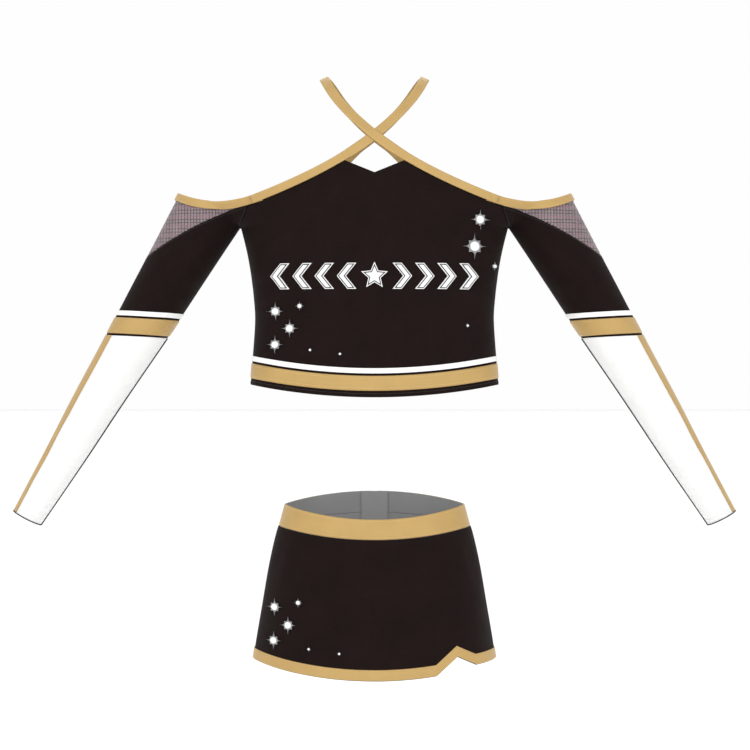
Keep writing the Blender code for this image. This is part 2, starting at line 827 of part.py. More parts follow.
def build_pull(name, to_world, hang, mats, parts):
    """Pull tab: a plate with an eye, hanging from the slider's face along hang."""
    face = -0.5 * FABRIC + 0.5 * TEETH_THICK + GAP + PLATE + GAP
    top = -0.25 * SLIDER_LENGTH
    eye = 0.0014
    rim = TAB_HALF - eye
    outline = [(-TAB_HALF, 0.0), (TAB_HALF, 0.0), (TAB_HALF * 0.8, -TAB_LENGTH),
               (-TAB_HALF * 0.8, -TAB_LENGTH)]
    hole = [(-eye, -rim), (eye, -rim), (eye, -rim - 0.004), (-eye, -rim - 0.004)]
    root = to_world(Vector((0.0, face, top)))
    work = bmesh.new()
    outer = [work.verts.new(root + Vector((x, 0.0, 0.0)) - hang * z) for x, z in outline]
    inner = [work.verts.new(root + Vector((x, 0.0, 0.0)) - hang * z) for x, z in hole]
    for k in range(4):
        n = (k + 1) % 4
        work.faces.new((outer[k], outer[n], inner[n], inner[k]))
    mesh = bpy.data.meshes.new(name)
    finish_sheet(work, mesh, None, 0.0)
    return solid(name, mesh, mats["metal"], parts, 0.0009, True)


def build_zip(prefix, span, depth, mats, parts):
    to_world, length, up = zip_frame(span[0], span[1], depth)
    free_fall = Vector((0.0, 0.0, -1.0))
    hang = free_fall if up.y > 0.0 else -up
    middle = -0.5 * FABRIC
    tape_face = -FABRIC - TAPE_GAP
    for side, word in ((1, "left"), (-1, "right")):
        slot, outer = sorted((side * TEETH_SLOT, side * TEETH_OUTER))
        box(f"{prefix}_zip_teeth_{word}", (slot, middle - 0.5 * TEETH_THICK, -length),
            (outer, middle + 0.5 * TEETH_THICK, 0.0), to_world, mats["metal"], parts)
        near, far = sorted((side * (PANEL_EDGE - 0.0004), side * TAPE_OUTER))
        box(f"{prefix}_zip_tape_{word}", (near, tape_face - TAPE_THICK, -length),
            (far, tape_face, 0.0), to_world, mats["black"], parts)
    build_slider(f"{prefix}_zip_slider", to_world, mats, parts)
    build_pull(f"{prefix}_zip_pull", to_world, hang, mats, parts)


def apply_modifiers(parts):
    graph = bpy.context.evaluated_depsgraph_get()
    for obj in list(parts.objects):
        mesh = bpy.data.meshes.new_from_object(obj.evaluated_get(graph))
        obj.modifiers.clear()
        obj.data = mesh


def build():
    clear_scene()
    parts = bpy.data.collections.new("cheer_uniform")
    bpy.context.scene.collection.children.link(parts)
    mats = {
        "black": make_material("black_knit", BLACK, 0.75),
        "gold": make_material("gold_braid", GOLD, 0.45),
        "white": make_material("white_knit", WHITE, 0.7),
        "mesh": make_material("mauve_mesh", MESH_GREY, 0.8),
        "foil": make_material("silver_foil", FOIL, 0.25, 0.9),
        "metal": make_material("zip_metal", ZIP_METAL, 0.35, 1.0),
    }
    build_bodice(mats, parts)
    bodice_band("white_braid", WHITE_BRAID_Z, mats["white"], parts)
    bodice_band("gold_braid", GOLD_BRAID_Z, mats["gold"], parts)
    build_straps(mats, parts)
    build_applique(mats, parts)
    build_sparks(mats, parts)
    build_sleeve(1, "left", mats, parts)
    build_sleeve(-1, "right", mats, parts)
    build_skirt(mats, parts)
    build_zip("top", TOP_ZIP_Z, back_depth, mats, parts)
    build_zip("skirt", SKIRT_ZIP_Z, skirt_depth, mats, parts)
    apply_modifiers(parts)


build()
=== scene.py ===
"""Cheer uniform in its finished materials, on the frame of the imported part.

Metres, +Z up, the wearer faces -Y and the wearer's left is +X. The cloth surfaces follow the
same body form as the solids, at a finer spacing, with creases, stitching, net and sparkles.
"""
import math

import bmesh
import bpy
import numpy as np
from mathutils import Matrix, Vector


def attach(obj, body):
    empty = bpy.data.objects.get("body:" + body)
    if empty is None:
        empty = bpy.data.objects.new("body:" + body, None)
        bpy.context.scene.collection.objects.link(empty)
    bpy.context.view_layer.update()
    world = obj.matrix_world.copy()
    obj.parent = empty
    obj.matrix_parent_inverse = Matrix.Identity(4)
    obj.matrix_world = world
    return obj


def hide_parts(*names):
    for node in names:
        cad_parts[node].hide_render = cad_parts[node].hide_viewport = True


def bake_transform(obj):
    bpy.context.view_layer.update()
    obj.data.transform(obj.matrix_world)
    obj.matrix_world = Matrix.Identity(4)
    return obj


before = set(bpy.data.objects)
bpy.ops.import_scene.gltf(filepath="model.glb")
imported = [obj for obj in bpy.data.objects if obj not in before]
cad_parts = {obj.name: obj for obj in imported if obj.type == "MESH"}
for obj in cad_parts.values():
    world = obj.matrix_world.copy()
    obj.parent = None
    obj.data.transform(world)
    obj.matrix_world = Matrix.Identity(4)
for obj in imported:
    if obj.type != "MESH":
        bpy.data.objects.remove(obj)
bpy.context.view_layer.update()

FABRIC, BRAID, STRAP, GAP, SEAM_GAP = 0.0012, 0.0009, 0.0016, 0.00035, 0.0006
ARMHOLE_GAP, SPARK_LIFT, STRAP_LIFT, APPLIQUE_LIFT = 0.0016, 0.0018, 0.0013, 0.0009
CHEST_HALF, RIB_HALF, HEM_HALF = 0.1896, 0.1697, 0.1760
RIB_Z, HEM_Z, HEM_DIP, HEM_DIP_START = -0.1278, -0.2221, 0.0177, -0.090
CHEST_FRONT, BUST_FRONT, UNDERBUST_FRONT, BREAST_Z = 0.094, 0.099, 0.082, 0.045
BACK_NECK, BACK_HEM, SECTION_POWER = 0.088, 0.072, 2.3
ARMHOLE_TOP, STRAP_TOP = (0.1722, 0.0362), (-0.0709, 0.2101)
NECK_GUIDES = (ARMHOLE_TOP, (0.0401, 0.0815), (-0.0426, 0.1463), STRAP_TOP)
NOTCH_Z, NOTCH_RISE = 0.0729, 0.407
STRAP_WIDTH_LOW, STRAP_WIDTH_HIGH, BACK_STRAP_RISE = 0.0114, 0.0135, 0.012
WHITE_BRAID_Z, GOLD_BRAID_Z = (-0.1815, -0.1888), (-0.1921, -0.2130)
BADGE_Z, BADGE_HEIGHT, STAR_RADIUS = -0.0711, 0.0359, 0.0195
CHEVRON_START, CHEVRON_PITCH, CHEVRON_ARM, CHEVRON_POINT = 0.0250, 0.0310, 0.0125, 0.0145
SLEEVE_CORNER, SLEEVE_ANGLE, SLEEVE_LENGTH = (0.2770, 0.0469), math.radians(27.64), 0.5066
SLEEVE_SIN, SLEEVE_COS = math.sin(SLEEVE_ANGLE), math.cos(SLEEVE_ANGLE)
SLEEVE_TOP_WIDTH, SLEEVE_TAPER = 0.0997, 0.1116
DEPTH_SHARE_TOP, DEPTH_SHARE_CUFF = 0.93, 1.25
NECK_START, NECK_CURVE = 0.0041, 4.5
INSERT_SEAM = (0.1002, -1.85, 5.0)
INSERT_THICK, INSERT_REACH, ARMHOLE_SHARE = 0.0008, 0.985, 0.62
BAND_START, BAND_SLOPE, ELBOW_OFFSET = 0.1855, -0.46, 0.0388
SLEEVE_WHITE, SLEEVE_GOLD = (0.0, 0.0075), (0.0108, 0.0358)
STRIPE_SHARE, STRIPE_THICK, PIPING_SHARE, PIPING_THICK = 0.235, 0.0007, 0.03, 0.0011
CUFF_HEIGHT = 0.0016
WAIST_HALF, BAND_HALF, SKIRT_HEM_HALF = 0.1278, 0.1363, 0.1718
WAIST_Z, BAND_Z, SKIRT_HEM_Z = -0.3912, -0.4217, -0.6092
WAIST_DEPTH, SKIRT_DEPTH_SLOPE, SKIRT_POWER, SKIRT_TRIM = 0.075, 0.15, 2.15, 0.0149
DIPS, RISES = (0.0189, 0.0166, 0.0228), (0.0154, 0.0150, 0.0)
SLIT = ((0.504, 0.0), (0.674, 0.021), (0.825, 0.003), (1.0, 0.0))
TEETH_SLOT, TEETH_OUTER, PANEL_EDGE, CLOSED_EDGE = 0.0012, 0.0034, 0.0045, 0.0003
TAPE_OUTER, TEETH_THICK, TAPE_THICK, TAPE_GAP = 0.0140, 0.0018, 0.0006, 0.0011
SLIDER_LENGTH, SLIDER_HALF, PLATE, TAB_LENGTH, TAB_HALF = 0.0105, 0.0036, 0.0008, 0.0200, 0.0028
TOP_ZIP_Z, SKIRT_ZIP_Z, TOOTH_PITCH = (0.0690, -0.2350), (-0.3790, -0.5300), 0.0023
SLIDER_SHAPE = ((-1.0, -0.9), (-1.0, -0.35), (-0.8, -0.08), (0.8, -0.08), (1.0, -0.35),
                (1.0, -0.9), (0.6, -1.0), (-0.6, -1.0))
ELBOW_PIVOT = (0.3388, 0.0, -0.1536)
EDGE_SHARE = 0.026
BRAID_EDGE, STRAP_EDGE = 0.32, 0.45
BRAID_TOP, THREAD_LIFT = GAP + BRAID, 0.00005
STRAP_TOP_LIFT, LINING = STRAP_LIFT + STRAP, (-FABRIC - 0.0006, -FABRIC - 0.0001)
SEAM_FACING = 0.074
FLOOR_Z = -0.985
SIDES = ((1.0, "left"), (-1.0, "right"))

# Sparkles: centre (x, z), ray length and the end of the name of the solid each stands for.
BODICE_SPARKS = (
    (0.1470, 0.0085, 0.0148, "left_high"),
    (0.1390, -0.0290, 0.0185, "left_mid"),
    (0.1680, -0.0555, 0.0064, "left_low"),
    (-0.1375, -0.1195, 0.0130, "right_high"),
    (-0.1180, -0.1435, 0.0130, "right_mid"),
    (-0.1385, -0.1660, 0.0130, "right_low"),
    (-0.1037, -0.1124, 0.0069, None),
    (-0.0894, -0.1736, 0.0037, None),
    (-0.0479, -0.1791, 0.0037, None),
    (0.1293, -0.1395, 0.0037, None),
)
SKIRT_SPARKS = (
    (-0.1395, -0.5340, 0.0125, "high"),
    (-0.1195, -0.5580, 0.0125, "mid"),
    (-0.1405, -0.5800, 0.0125, "low"),
    (-0.1054, -0.5265, 0.0069, None),
    (-0.0907, -0.5895, 0.0037, None),
    (-0.0487, -0.5948, 0.0037, None),
)


def smooth(t):
    t = np.clip(t, 0.0, 1.0)
    return t * t * (3.0 - 2.0 * t)


def mix(a, b, t):
    return a + (b - a) * t


def ease(value, power):
    """The sine or cosine of a squarer or rounder oval, which keeps its sign."""
    return np.sign(value) * np.abs(value) ** (2.0 / power)


def share_column(low, high, count):
    return np.linspace(low, high, count)[:, None]


def bisect(inside, low, high):
    for _ in range(40):
        middle = 0.5 * (low + high)
        good = inside(middle)
        low, high = np.where(good, middle, low), np.where(good, high, middle)
    return low


# ---- body form ----


def torso_half(z):
    z = np.asarray(z, float)
    ribs = RIB_HALF + (CHEST_HALF - RIB_HALF) * np.clip(1.0 - z / RIB_Z, 0.0, None) ** 1.7
    share = np.clip((z - RIB_Z) / (HEM_Z - RIB_Z), 0.0, None)
    low = RIB_HALF + (HEM_HALF - RIB_HALF) * share ** 1.3
    return np.where(z > 0.0, CHEST_HALF + 1.2 * z, np.where(z > RIB_Z, ribs, low))


def dome(z, start, depth):
    share = np.clip((z - start) / (STRAP_TOP[1] - start), 0.0, 1.0)
    return depth * (1.0 - share ** 1.8) ** (1.0 / 1.8)


def front_depth(z):
    z = np.asarray(z, float)
    high = mix(CHEST_FRONT, BUST_FRONT, smooth((BREAST_Z - z) / 0.095))
    low = mix(BUST_FRONT, UNDERBUST_FRONT, smooth((-0.05 - z) / 0.17))
    return np.where(z > BREAST_Z, dome(z, BREAST_Z, CHEST_FRONT), np.where(z > -0.05, high, low))


def back_depth(z):
    z = np.asarray(z, float)
    slope = (BACK_NECK - BACK_HEM) / (NOTCH_Z - HEM_Z)
    return np.where(z > NOTCH_Z, dome(z, NOTCH_Z, BACK_NECK), BACK_NECK + slope * (z - NOTCH_Z))


def depth_at(z, back):
    return np.where(back, back_depth(z), front_depth(z))


def section(s, power=SECTION_POWER):
    return (1.0 - np.clip(np.abs(s), 0.0, 1.0) ** power) ** (1.0 / power)


def sleeve_width(along):
    return SLEEVE_TOP_WIDTH - np.where(along < 0.0, 1.0, SLEEVE_TAPER) * along


def sleeve_depth(along, share):
    level = np.clip(along, 0.0, None)
    ratio = mix(DEPTH_SHARE_TOP, DEPTH_SHARE_CUFF, level / SLEEVE_LENGTH)
    share = np.clip(share, 0.0, 1.0)
    return sleeve_width(level) * ratio * np.sqrt(share * (1.0 - share))


def to_sleeve(x, z):
    dx, dz = x - SLEEVE_CORNER[0], z - SLEEVE_CORNER[1]
    return dx * SLEEVE_SIN - dz * SLEEVE_COS, -dx * SLEEVE_COS - dz * SLEEVE_SIN


def from_sleeve(along, across):
    return (SLEEVE_CORNER[0] + along * SLEEVE_SIN - across * SLEEVE_COS,
            SLEEVE_CORNER[1] - along * SLEEVE_COS - across * SLEEVE_SIN)


def cover_depth(x, z, back):
    x = np.abs(x)
    s = x / torso_half(z)
    torso = np.where(s < 1.0, depth_at(z, back) * section(s), 0.0)
    along, across = to_sleeve(x, z)
    arm = np.where(z > -0.09, sleeve_depth(along, across / sleeve_width(along)), 0.0)
    return (torso ** 4 + arm ** 4) ** 0.25


def neck_point(t):
    weights = ((1 - t) ** 3, 3 * (1 - t) ** 2 * t, 3 * (1 - t) * t * t, t ** 3)
    return tuple(sum(w * g[k] for w, g in zip(weights, NECK_GUIDES)) for k in (0, 1))


def neck_height(x):
    t = bisect(lambda u: neck_point(u)[0] > x, np.zeros_like(x), np.ones_like(x))
    return np.minimum(neck_point(t)[1], NOTCH_Z + NOTCH_RISE * x)


def armhole_side(x, z):
    return (x - CHEST_HALF) * ARMHOLE_TOP[1] + z * (CHEST_HALF - ARMHOLE_TOP[0])


def bodice_top(s):
    def inside(z):
        x = s * torso_half(z)
        open_neck = (x < ARMHOLE_TOP[0]) & (z >= neck_height(x))
        return (armhole_side(x, z) <= 0.0) & ~open_neck
    return bisect(inside, np.full_like(s, -0.02), np.full_like(s, 0.12))


def torso_surface(s, q, back, edge=None):
    """Points of the body form; the first column can be set at a distance from the middle."""
    s, q = np.broadcast_arrays(s, q)
    x = s * torso_half(q)
    z = q - HEM_DIP * smooth((HEM_DIP_START - q) / 0.09) * (1.0 - s * s)
    plain = depth_at(z, back) * section(s)
    depth = np.maximum(np.where(q > -0.09, cover_depth(x, z, back), plain), 0.0003)
    if edge is not None:
        x[:, 0] = edge
    return np.stack([x, np.where(back, depth, -depth), z], -1)


# ---- creases ----


def creases(points):
    """Shallow creases in the cloth, the same for every layer sewn together at a place."""
    x, y, z = np.abs(points[..., 0]), points[..., 1], points[..., 2]
    side = np.sign(points[..., 0])
    along, across = to_sleeve(x, z)
    torso = smooth((0.200 - x) / 0.02) * smooth((z + 0.36) / 0.04) * smooth(np.abs(y) / 0.035)
    flank = torso * smooth((x - 0.075) / 0.06) * smooth((-0.02 - z) / 0.05)
    wave = np.sin(z * 165.0 + 26.0 * x + 9.0 * y + 1.3 * side) * np.sin(z * 61.0 + 2.1 * side + 17.0 * y)
    move = 0.0009 * flank * wave
    bust = torso * np.exp(-((x - 0.155) / 0.035) ** 2 - ((z - 0.005) / 0.045) ** 2)
    move += 0.0011 * bust * np.sin((x * 0.75 + z) * 190.0 + side)
    share = np.clip(across / sleeve_width(along), 0.0, 1.0)
    arm = smooth((x - 0.180) / 0.03) * smooth((z + 0.50) / 0.05) * smooth(9.0 * share * (1.0 - share) - 0.4)
    elbow = np.exp(-((along - 0.262) / 0.048) ** 2) * smooth((along - 0.228) / 0.02)
    inner = smooth((across - 0.012) / 0.03)
    move += 0.0013 * arm * elbow * inner * np.sin(along * 210.0 + 30.0 * y + 22.0 * across + 0.9 * side)
    upper = np.exp(-((along - 0.105) / 0.045) ** 2) * inner
    move += 0.0010 * arm * upper * np.sin(along * 150.0 - 62.0 * across + 12.0 * y + 2.0 * side)
    fore = smooth((along - 0.31) / 0.06) * smooth((0.49 - along) / 0.05)
    move += 0.0007 * arm * fore * np.sin(along * 74.0 + 58.0 * across + 16.0 * y + side)
    skirt = smooth((-0.43 - z) / 0.04) * smooth(np.abs(y) / 0.03)
    move += 0.0010 * skirt * np.sin(x * 46.0 * (1.0 - 0.35 * z) + 2.2 * side + 31.0 * y) \
        * smooth((-0.44 - z) / 0.12)
    move += 0.0006 * skirt * smooth((-0.425 - z) / 0.02) * smooth((z + 0.52) / 0.05) \
        * np.sin(x * 190.0 + 60.0 * y + z * 40.0)
    move += 0.0004 * np.sin(x * 37.0 + z * 29.0 + 2.0) * np.sin(z * 33.0 - y * 41.0)
    return move


# ---- meshes ----


def make_object(name, verts, quads, kind, uvs=0.0, soft=True):
    mesh = bpy.data.meshes.new(name)
    count = len(quads)
    mesh.vertices.add(len(verts))
    mesh.vertices.foreach_set("co", np.asarray(verts, np.float32).ravel())
    mesh.loops.add(4 * count)
    mesh.loops.foreach_set("vertex_index", np.asarray(quads, np.int32).ravel())
    mesh.polygons.add(count)
    mesh.polygons.foreach_set("loop_start", np.arange(0, 4 * count, 4, dtype=np.int32))
    mesh.polygons.foreach_set("use_smooth", np.array(np.broadcast_to(soft, count)))
    layer = mesh.uv_layers.new(name="cloth")
    layer.data.foreach_set("uv", np.array(np.broadcast_to(uvs, (count, 4, 2)), np.float32).ravel())
    mesh.update(calc_edges=True)
    mesh.validate()
    obj = bpy.data.objects.new(name, mesh)
    bpy.context.scene.collection.objects.link(obj)
    mesh.materials.append(MAT[kind])
    return obj


def cells(grid):
    """The four corners of each cell of a grid, in order round the cell."""
    corners = grid[:-1, :-1], grid[:-1, 1:], grid[1:, 1:], grid[1:, :-1]
    return np.stack([k.reshape(-1, *grid.shape[2:]) for k in corners], 1)


class Cloth:
    """A surface in a fine grid, from which layers of a given thickness are cut."""

    def __init__(self, points, core=None, wrap=False, creased=True, uv=None):
        if core is None:
            core = points * (0.0, 0.0, 1.0)
        around = np.roll(points, -1, 1) - np.roll(points, 1, 1) if wrap \
            else np.gradient(points, axis=1)
        normals = np.cross(around, np.gradient(points, axis=0))
        normals /= np.maximum(np.linalg.norm(normals, axis=-1, keepdims=True), 1e-12)
        self.wrap = wrap
        self.sign = 1.0 if np.sum(normals * (points - core)) > 0.0 else -1.0
        self.normals = normals * self.sign
        self.points = points + self.normals * creases(points)[..., None] if creased else points
        ring = np.concatenate([points, points[:, :1]], 1) if wrap else points
        u, v = (np.cumsum(np.linalg.norm(np.diff(k, axis=axis), axis=-1).mean(1 - axis))
                for k, axis in ((ring, 1), (points, 0)))
        metres = np.broadcast_arrays(np.append(0.0, u)[None], np.append(0.0, v)[:, None])
        self.uv = np.stack(metres, -1) if uv is None else uv

    def layer(self, name, low, high, kind, edge=1.0):
        """A layer between two heights; below an edge of 1 its top falls away to its long edges."""
        rows, columns = self.points.shape[:2]
        crown = edge + (1.0 - edge) * (1.0 - np.abs(share_column(-1.0, 1.0, rows)) ** 5) ** 0.5
        levels = [np.broadcast_to(k, (rows, columns))[..., None]
                  for k in (low + (high - low) * crown, low)]
        verts = np.concatenate([(self.points + self.normals * k).reshape(-1, 3) for k in levels])
        size = rows * columns
        index = np.arange(size).reshape(rows, columns)
        if self.wrap:
            index = np.concatenate([index, index[:, :1]], 1)
        quads, uvs = ([cells(k), cells(k)[:, ::-1]] for k in (index, self.uv))
        quads[1] = quads[1] + size
        faces = 2 * len(quads[0])

        def rims(grid):
            ends = [grid[0, ::-1], grid[-1]]
            return ends if self.wrap else ends + [grid[::-1, -1], grid[:, 0]]
        for line, mark in zip(rims(index), rims(self.uv)):
            quads.append(cells(np.stack([line, line + size])))
            uvs.append(cells(np.stack([mark, mark])))
        quads, uvs = np.concatenate(quads), np.concatenate(uvs)
        if self.sign < 0.0:
            quads, uvs = quads[:, ::-1], uvs[:, ::-1]
        return make_object(name, verts, quads, kind, uvs, np.arange(len(quads)) < faces)

    def add(self, name, low, high, kind, body, node=None, edge=1.0, **facts):
        """A layer that stands for a solid of the frame, or for none, and rides on a body; given a blend it
        is baked in place instead.
        """
        return settle(self.layer(name, low, high, kind, edge), body, node, **facts)

    def lines(self, lift, *shares, axis=0):
        """Points and normals along rows, or along columns where the axis is 1."""
        found = []
        for share in shares:
            index = int(round(share * (self.points.shape[axis] - 1)))
            points, normals = (k.take(index, axis) for k in (self.points, self.normals))
            if self.wrap and axis == 0:
                points, normals = (np.concatenate([k, k[:1]]) for k in (points, normals))
            found.append((points + normals * lift, normals))
        return found


def stitches(name, lines, kind, pitch=0.0031, size=0.0022, radius=0.00024):
    """Rows of thread, each stitch a short rounded bar that dips at its ends."""
    rings = ((0.0, 0.35, -0.4), (0.14, 0.85, 0.0), (0.5, 1.0, 0.25), (0.86, 0.85, 0.0),
             (1.0, 0.35, -0.4))
    sides = 6
    turn = (np.arange(sides) * 2.0 * np.pi / sides)[None, :, None]
    ring_index = np.arange(len(rings) * sides).reshape(len(rings), sides)
    pattern = cells(np.concatenate([ring_index, ring_index[:, :1]], 1))
    verts, quads, base = [], [], 0
    for points, normals in lines:
        steps = np.linalg.norm(np.diff(points, axis=0), axis=-1)
        run = np.concatenate([[0.0], np.cumsum(steps)])
        count = int(run[-1] / pitch)
        starts = (np.arange(count) + 0.5) * run[-1] / count - 0.5 * size

        def at(values, where):
            return np.stack([np.interp(where, run, values[:, k]) for k in range(3)], -1)
        first, last, up = at(points, starts), at(points, starts + size), at(normals, starts)
        ahead = last - first
        ahead /= np.linalg.norm(ahead, axis=-1, keepdims=True)
        spokes = np.cross(ahead, up)[:, None] * np.cos(turn) + up[:, None] * np.sin(turn)
        bars = [(mix(first, last, share) + up * (rise * radius))[:, None] + width * radius * spokes
                for share, width, rise in rings]
        verts.append(np.stack(bars, 1).reshape(-1, 3))
        offsets = base + np.arange(count)[:, None, None] * len(rings) * sides
        quads.append((pattern[None] + offsets).reshape(-1, 4))
        base += count * len(rings) * sides
    return make_object(name, np.concatenate(verts), np.concatenate(quads), kind)


# ---- materials ----


class Paint:
    """Builds one procedural material; sockets take numbers or other nodes' outputs."""

    def __init__(self, name, space="UV"):
        self.material = bpy.data.materials.new(name)
        self.material.use_nodes = True
        self.tree = self.material.node_tree
        self.shader = self.tree.nodes["Principled BSDF"]
        self.uv = self.node("ShaderNodeUVMap", uv_map="cloth").outputs[0] if space == "UV" \
            else self.node("ShaderNodeTexCoord").outputs[space]

    def node(self, kind, inputs=(), **settings):
        made = self.tree.nodes.new(kind)
        for key, value in settings.items():
            setattr(made, key, value)
        for key, value in dict(inputs).items():
            self.put(made.inputs[key], value)
        return made

    def put(self, socket, value):
        if isinstance(value, bpy.types.NodeSocket):
            self.tree.links.new(value, socket)
        else:
            socket.default_value = value

    def math(self, operation, a, b=0.0, c=0.0, clamp=False):
        made = self.node("ShaderNodeMath", operation=operation, use_clamp=clamp)
        for socket, value in zip(made.inputs, (a, b, c)):
            self.put(socket, value)
        return made.outputs[0]

    def mad(self, value, factor, offset=0.0, clamp=False):
        return self.math("MULTIPLY_ADD", value, factor, offset, clamp)

    def noise(self, scale, detail=2.0, rough=0.5):
        made = self.node("ShaderNodeTexNoise", {"Vector": self.uv, "Scale": scale,
                                                "Detail": detail, "Roughness": rough})
        return made.outputs["Fac"]

    def axes(self):
        return self.node("ShaderNodeSeparateXYZ", {0: self.uv}).outputs[:2]

    def waves(self, value, period, phase=0.0):
        """A wave from 0 to 1 with the given period in metres."""
        return self.mad(self.math("SINE", self.mad(value, 2.0 * math.pi / period, phase)), 0.5, 0.5)

    def ramp(self, value, stops):
        made = self.node("ShaderNodeValToRGB", {0: value})
        band = made.color_ramp
        while len(band.elements) < len(stops):
            band.elements.new(0.5)
        for element, (place, colour) in zip(band.elements, stops):
            element.position = place
            element.color = (*colour, 1.0)
        return made.outputs[0]

    def blend(self, share, first, second):
        made = self.node("ShaderNodeMix", {0: share}, data_type="RGBA")
        for socket, value in zip(made.inputs[6:8], (first, second)):
            self.put(socket, value if isinstance(value, bpy.types.NodeSocket) else (*value, 1.0))
        return made.outputs[2]

    def bump(self, height, distance, strength=1.0, below=None):
        made = self.node("ShaderNodeBump", {"Height": height, "Distance": distance,
                                            "Strength": strength})
        if below is not None:
            self.put(made.inputs["Normal"], below)
        return made.outputs[0]

    def finish(self, **values):
        for key, value in values.items():
            self.put(self.shader.inputs[key.replace("_", " ")], value)
        return self.material


def scaled(colour, share):
    return tuple(min(c * share, 1.0) for c in colour)


def shades(p, value, colour, low, high, dark, light):
    return p.ramp(value, ((low, scaled(colour, dark)), (high, scaled(colour, light))))


def woven(p, weave, colour, contrast, rough, tone, relief):
    """Tint, roughness and normal of a cloth from its weave, broken up by noise."""
    scale, spread, share = tone
    shade = p.math("ADD", p.mad(p.noise(scale, 3.0), spread), p.mad(weave, share))
    height, strength, ground, ground_height, ground_strength = relief
    below = p.bump(p.noise(ground, 2.0), ground_height, ground_strength)
    return (shades(p, shade, colour, 0.2, 0.8, 1.0 - contrast, 1.0 + contrast),
            p.mad(p.noise(rough[0]), rough[1], rough[2]), p.bump(weave, height, strength, below))


def knit(name, colour, rough=0.72, sheen=0.25, pitch=0.0012, contrast=0.16, lint=0.0,
         gloss=0.35):
    """Stretch jersey: columns of small loops, slight shade variation and a few lint flecks."""
    p = Paint(name)
    u, v = p.axes()
    column = p.waves(u, pitch)
    loop = p.waves(p.math("ADD", v, p.mad(column, 0.25 * pitch)), 0.8 * pitch)
    weave = p.math("MULTIPLY", p.math("ADD", column, 0.35), p.math("ADD", loop, 0.5))
    tint, roughness, normal = woven(p, weave, colour, contrast, (60.0, 0.12, rough - 0.06),
                                    (22.0, 0.7, 0.25), (0.00016, 0.55, 240.0, 0.00012, 0.35))
    if lint:
        fleck = p.mad(p.math("GREATER_THAN", p.noise(900.0, 1.0), 0.745), lint)
        tint = p.blend(fleck, tint, (0.35, 0.33, 0.32))
    return p.finish(Base_Color=tint, Roughness=roughness, Normal=normal, Sheen_Weight=sheen,
                    Sheen_Roughness=0.45, Specular_IOR_Level=gloss)


def ribbon(name, colour, rough=0.46, metallic=0.15, pitch=0.0009, along_v=False, contrast=0.10):
    """Woven satin braid: fine cross ribs and soft streaks along its length."""
    p = Paint(name)
    u, v = p.axes()[::-1] if along_v else p.axes()
    weave = p.math("ADD", p.mad(p.waves(u, pitch), 0.75), p.mad(p.waves(v, 2.1 * pitch), 0.25))
    tint, roughness, normal = woven(p, weave, colour, contrast, (80.0, 0.14, rough - 0.07),
                                    (30.0, 0.65, 0.3), (0.00018, 0.5, 150.0, 0.00015, 0.3))
    return p.finish(Base_Color=tint, Roughness=roughness, Normal=normal, Metallic=metallic,
                    Sheen_Weight=0.12, Sheen_Roughness=0.4)


def netting(name):
    """Power net: threads down and across, some of them pink, over a sheer ground."""
    p = Paint(name)
    u, v = p.axes()
    pitch, power = 0.0044, 2.6
    rows, columns = (p.math("POWER", p.waves(k, pitch), power) for k in (u, v))
    yarns = p.math("MAXIMUM", rows, columns)
    ground = p.ramp(p.noise(34.0, 3.0, 0.65), ((0.3, (0.31, 0.235, 0.25)), (0.7, (0.44, 0.34, 0.355))))
    pink_row = p.math("GREATER_THAN", p.waves(v, pitch * 3.0, 1.1), 0.985)
    pink_column = p.math("GREATER_THAN", p.waves(u, pitch * 4.0, 0.4), 0.99)
    pink = p.math("MAXIMUM", pink_row, pink_column)
    tint = p.blend(yarns, ground, p.blend(pink, (0.052, 0.038, 0.044), (0.24, 0.11, 0.15)))
    return p.finish(Base_Color=tint, Roughness=0.7, Normal=p.bump(yarns, 0.0003, 0.7),
                    Sheen_Weight=0.2, Alpha=p.mad(yarns, 0.45, 0.55, clamp=True))


def foil(name):
    """Silver star print with a painted glint: white at the centre of each sparkle, fading to grey and near
    black at the ray tips.
    """
    p = Paint(name)
    # Painted glint: the tint runs by distance from the centre, from white at the core to dark grey at the
    # ray tips.
    tint = p.ramp(p.axes()[0], ((0.0, (1.0, 1.0, 1.0)), (0.30, (0.95, 0.95, 0.96)),
                                (0.38, (0.27, 0.27, 0.275)), (0.62, (0.20, 0.20, 0.205)),
                                (1.0, (0.07, 0.07, 0.072))))
    return p.finish(Base_Color=tint, Roughness=0.42, Metallic=0.1,
                    Normal=p.bump(p.noise(2600.0, 1.0), 0.0001, 0.4))


def metal(name, colour, rough):
    p = Paint(name, "Object")
    worn = p.noise(420.0, 3.0)
    return p.finish(Base_Color=shades(p, worn, colour, 0.35, 0.7, 0.82, 1.08), Metallic=1.0,
                    Normal=p.bump(worn, 0.00008, 0.3), Roughness=p.mad(worn, 0.2, rough - 0.1))


def thread(name, colour):
    p = Paint(name, "Object")
    return p.finish(Base_Color=shades(p, p.noise(300.0), colour, 0.3, 0.7, 0.85, 1.1),
                    Roughness=0.55, Sheen_Weight=0.2)


def plain_floor(name):
    white = (1.0, 1.0, 1.0, 1.0)
    return Paint(name).finish(Base_Color=white, Roughness=1.0, Specular_IOR_Level=0.0,
                              Emission_Color=white, Emission_Strength=0.07)


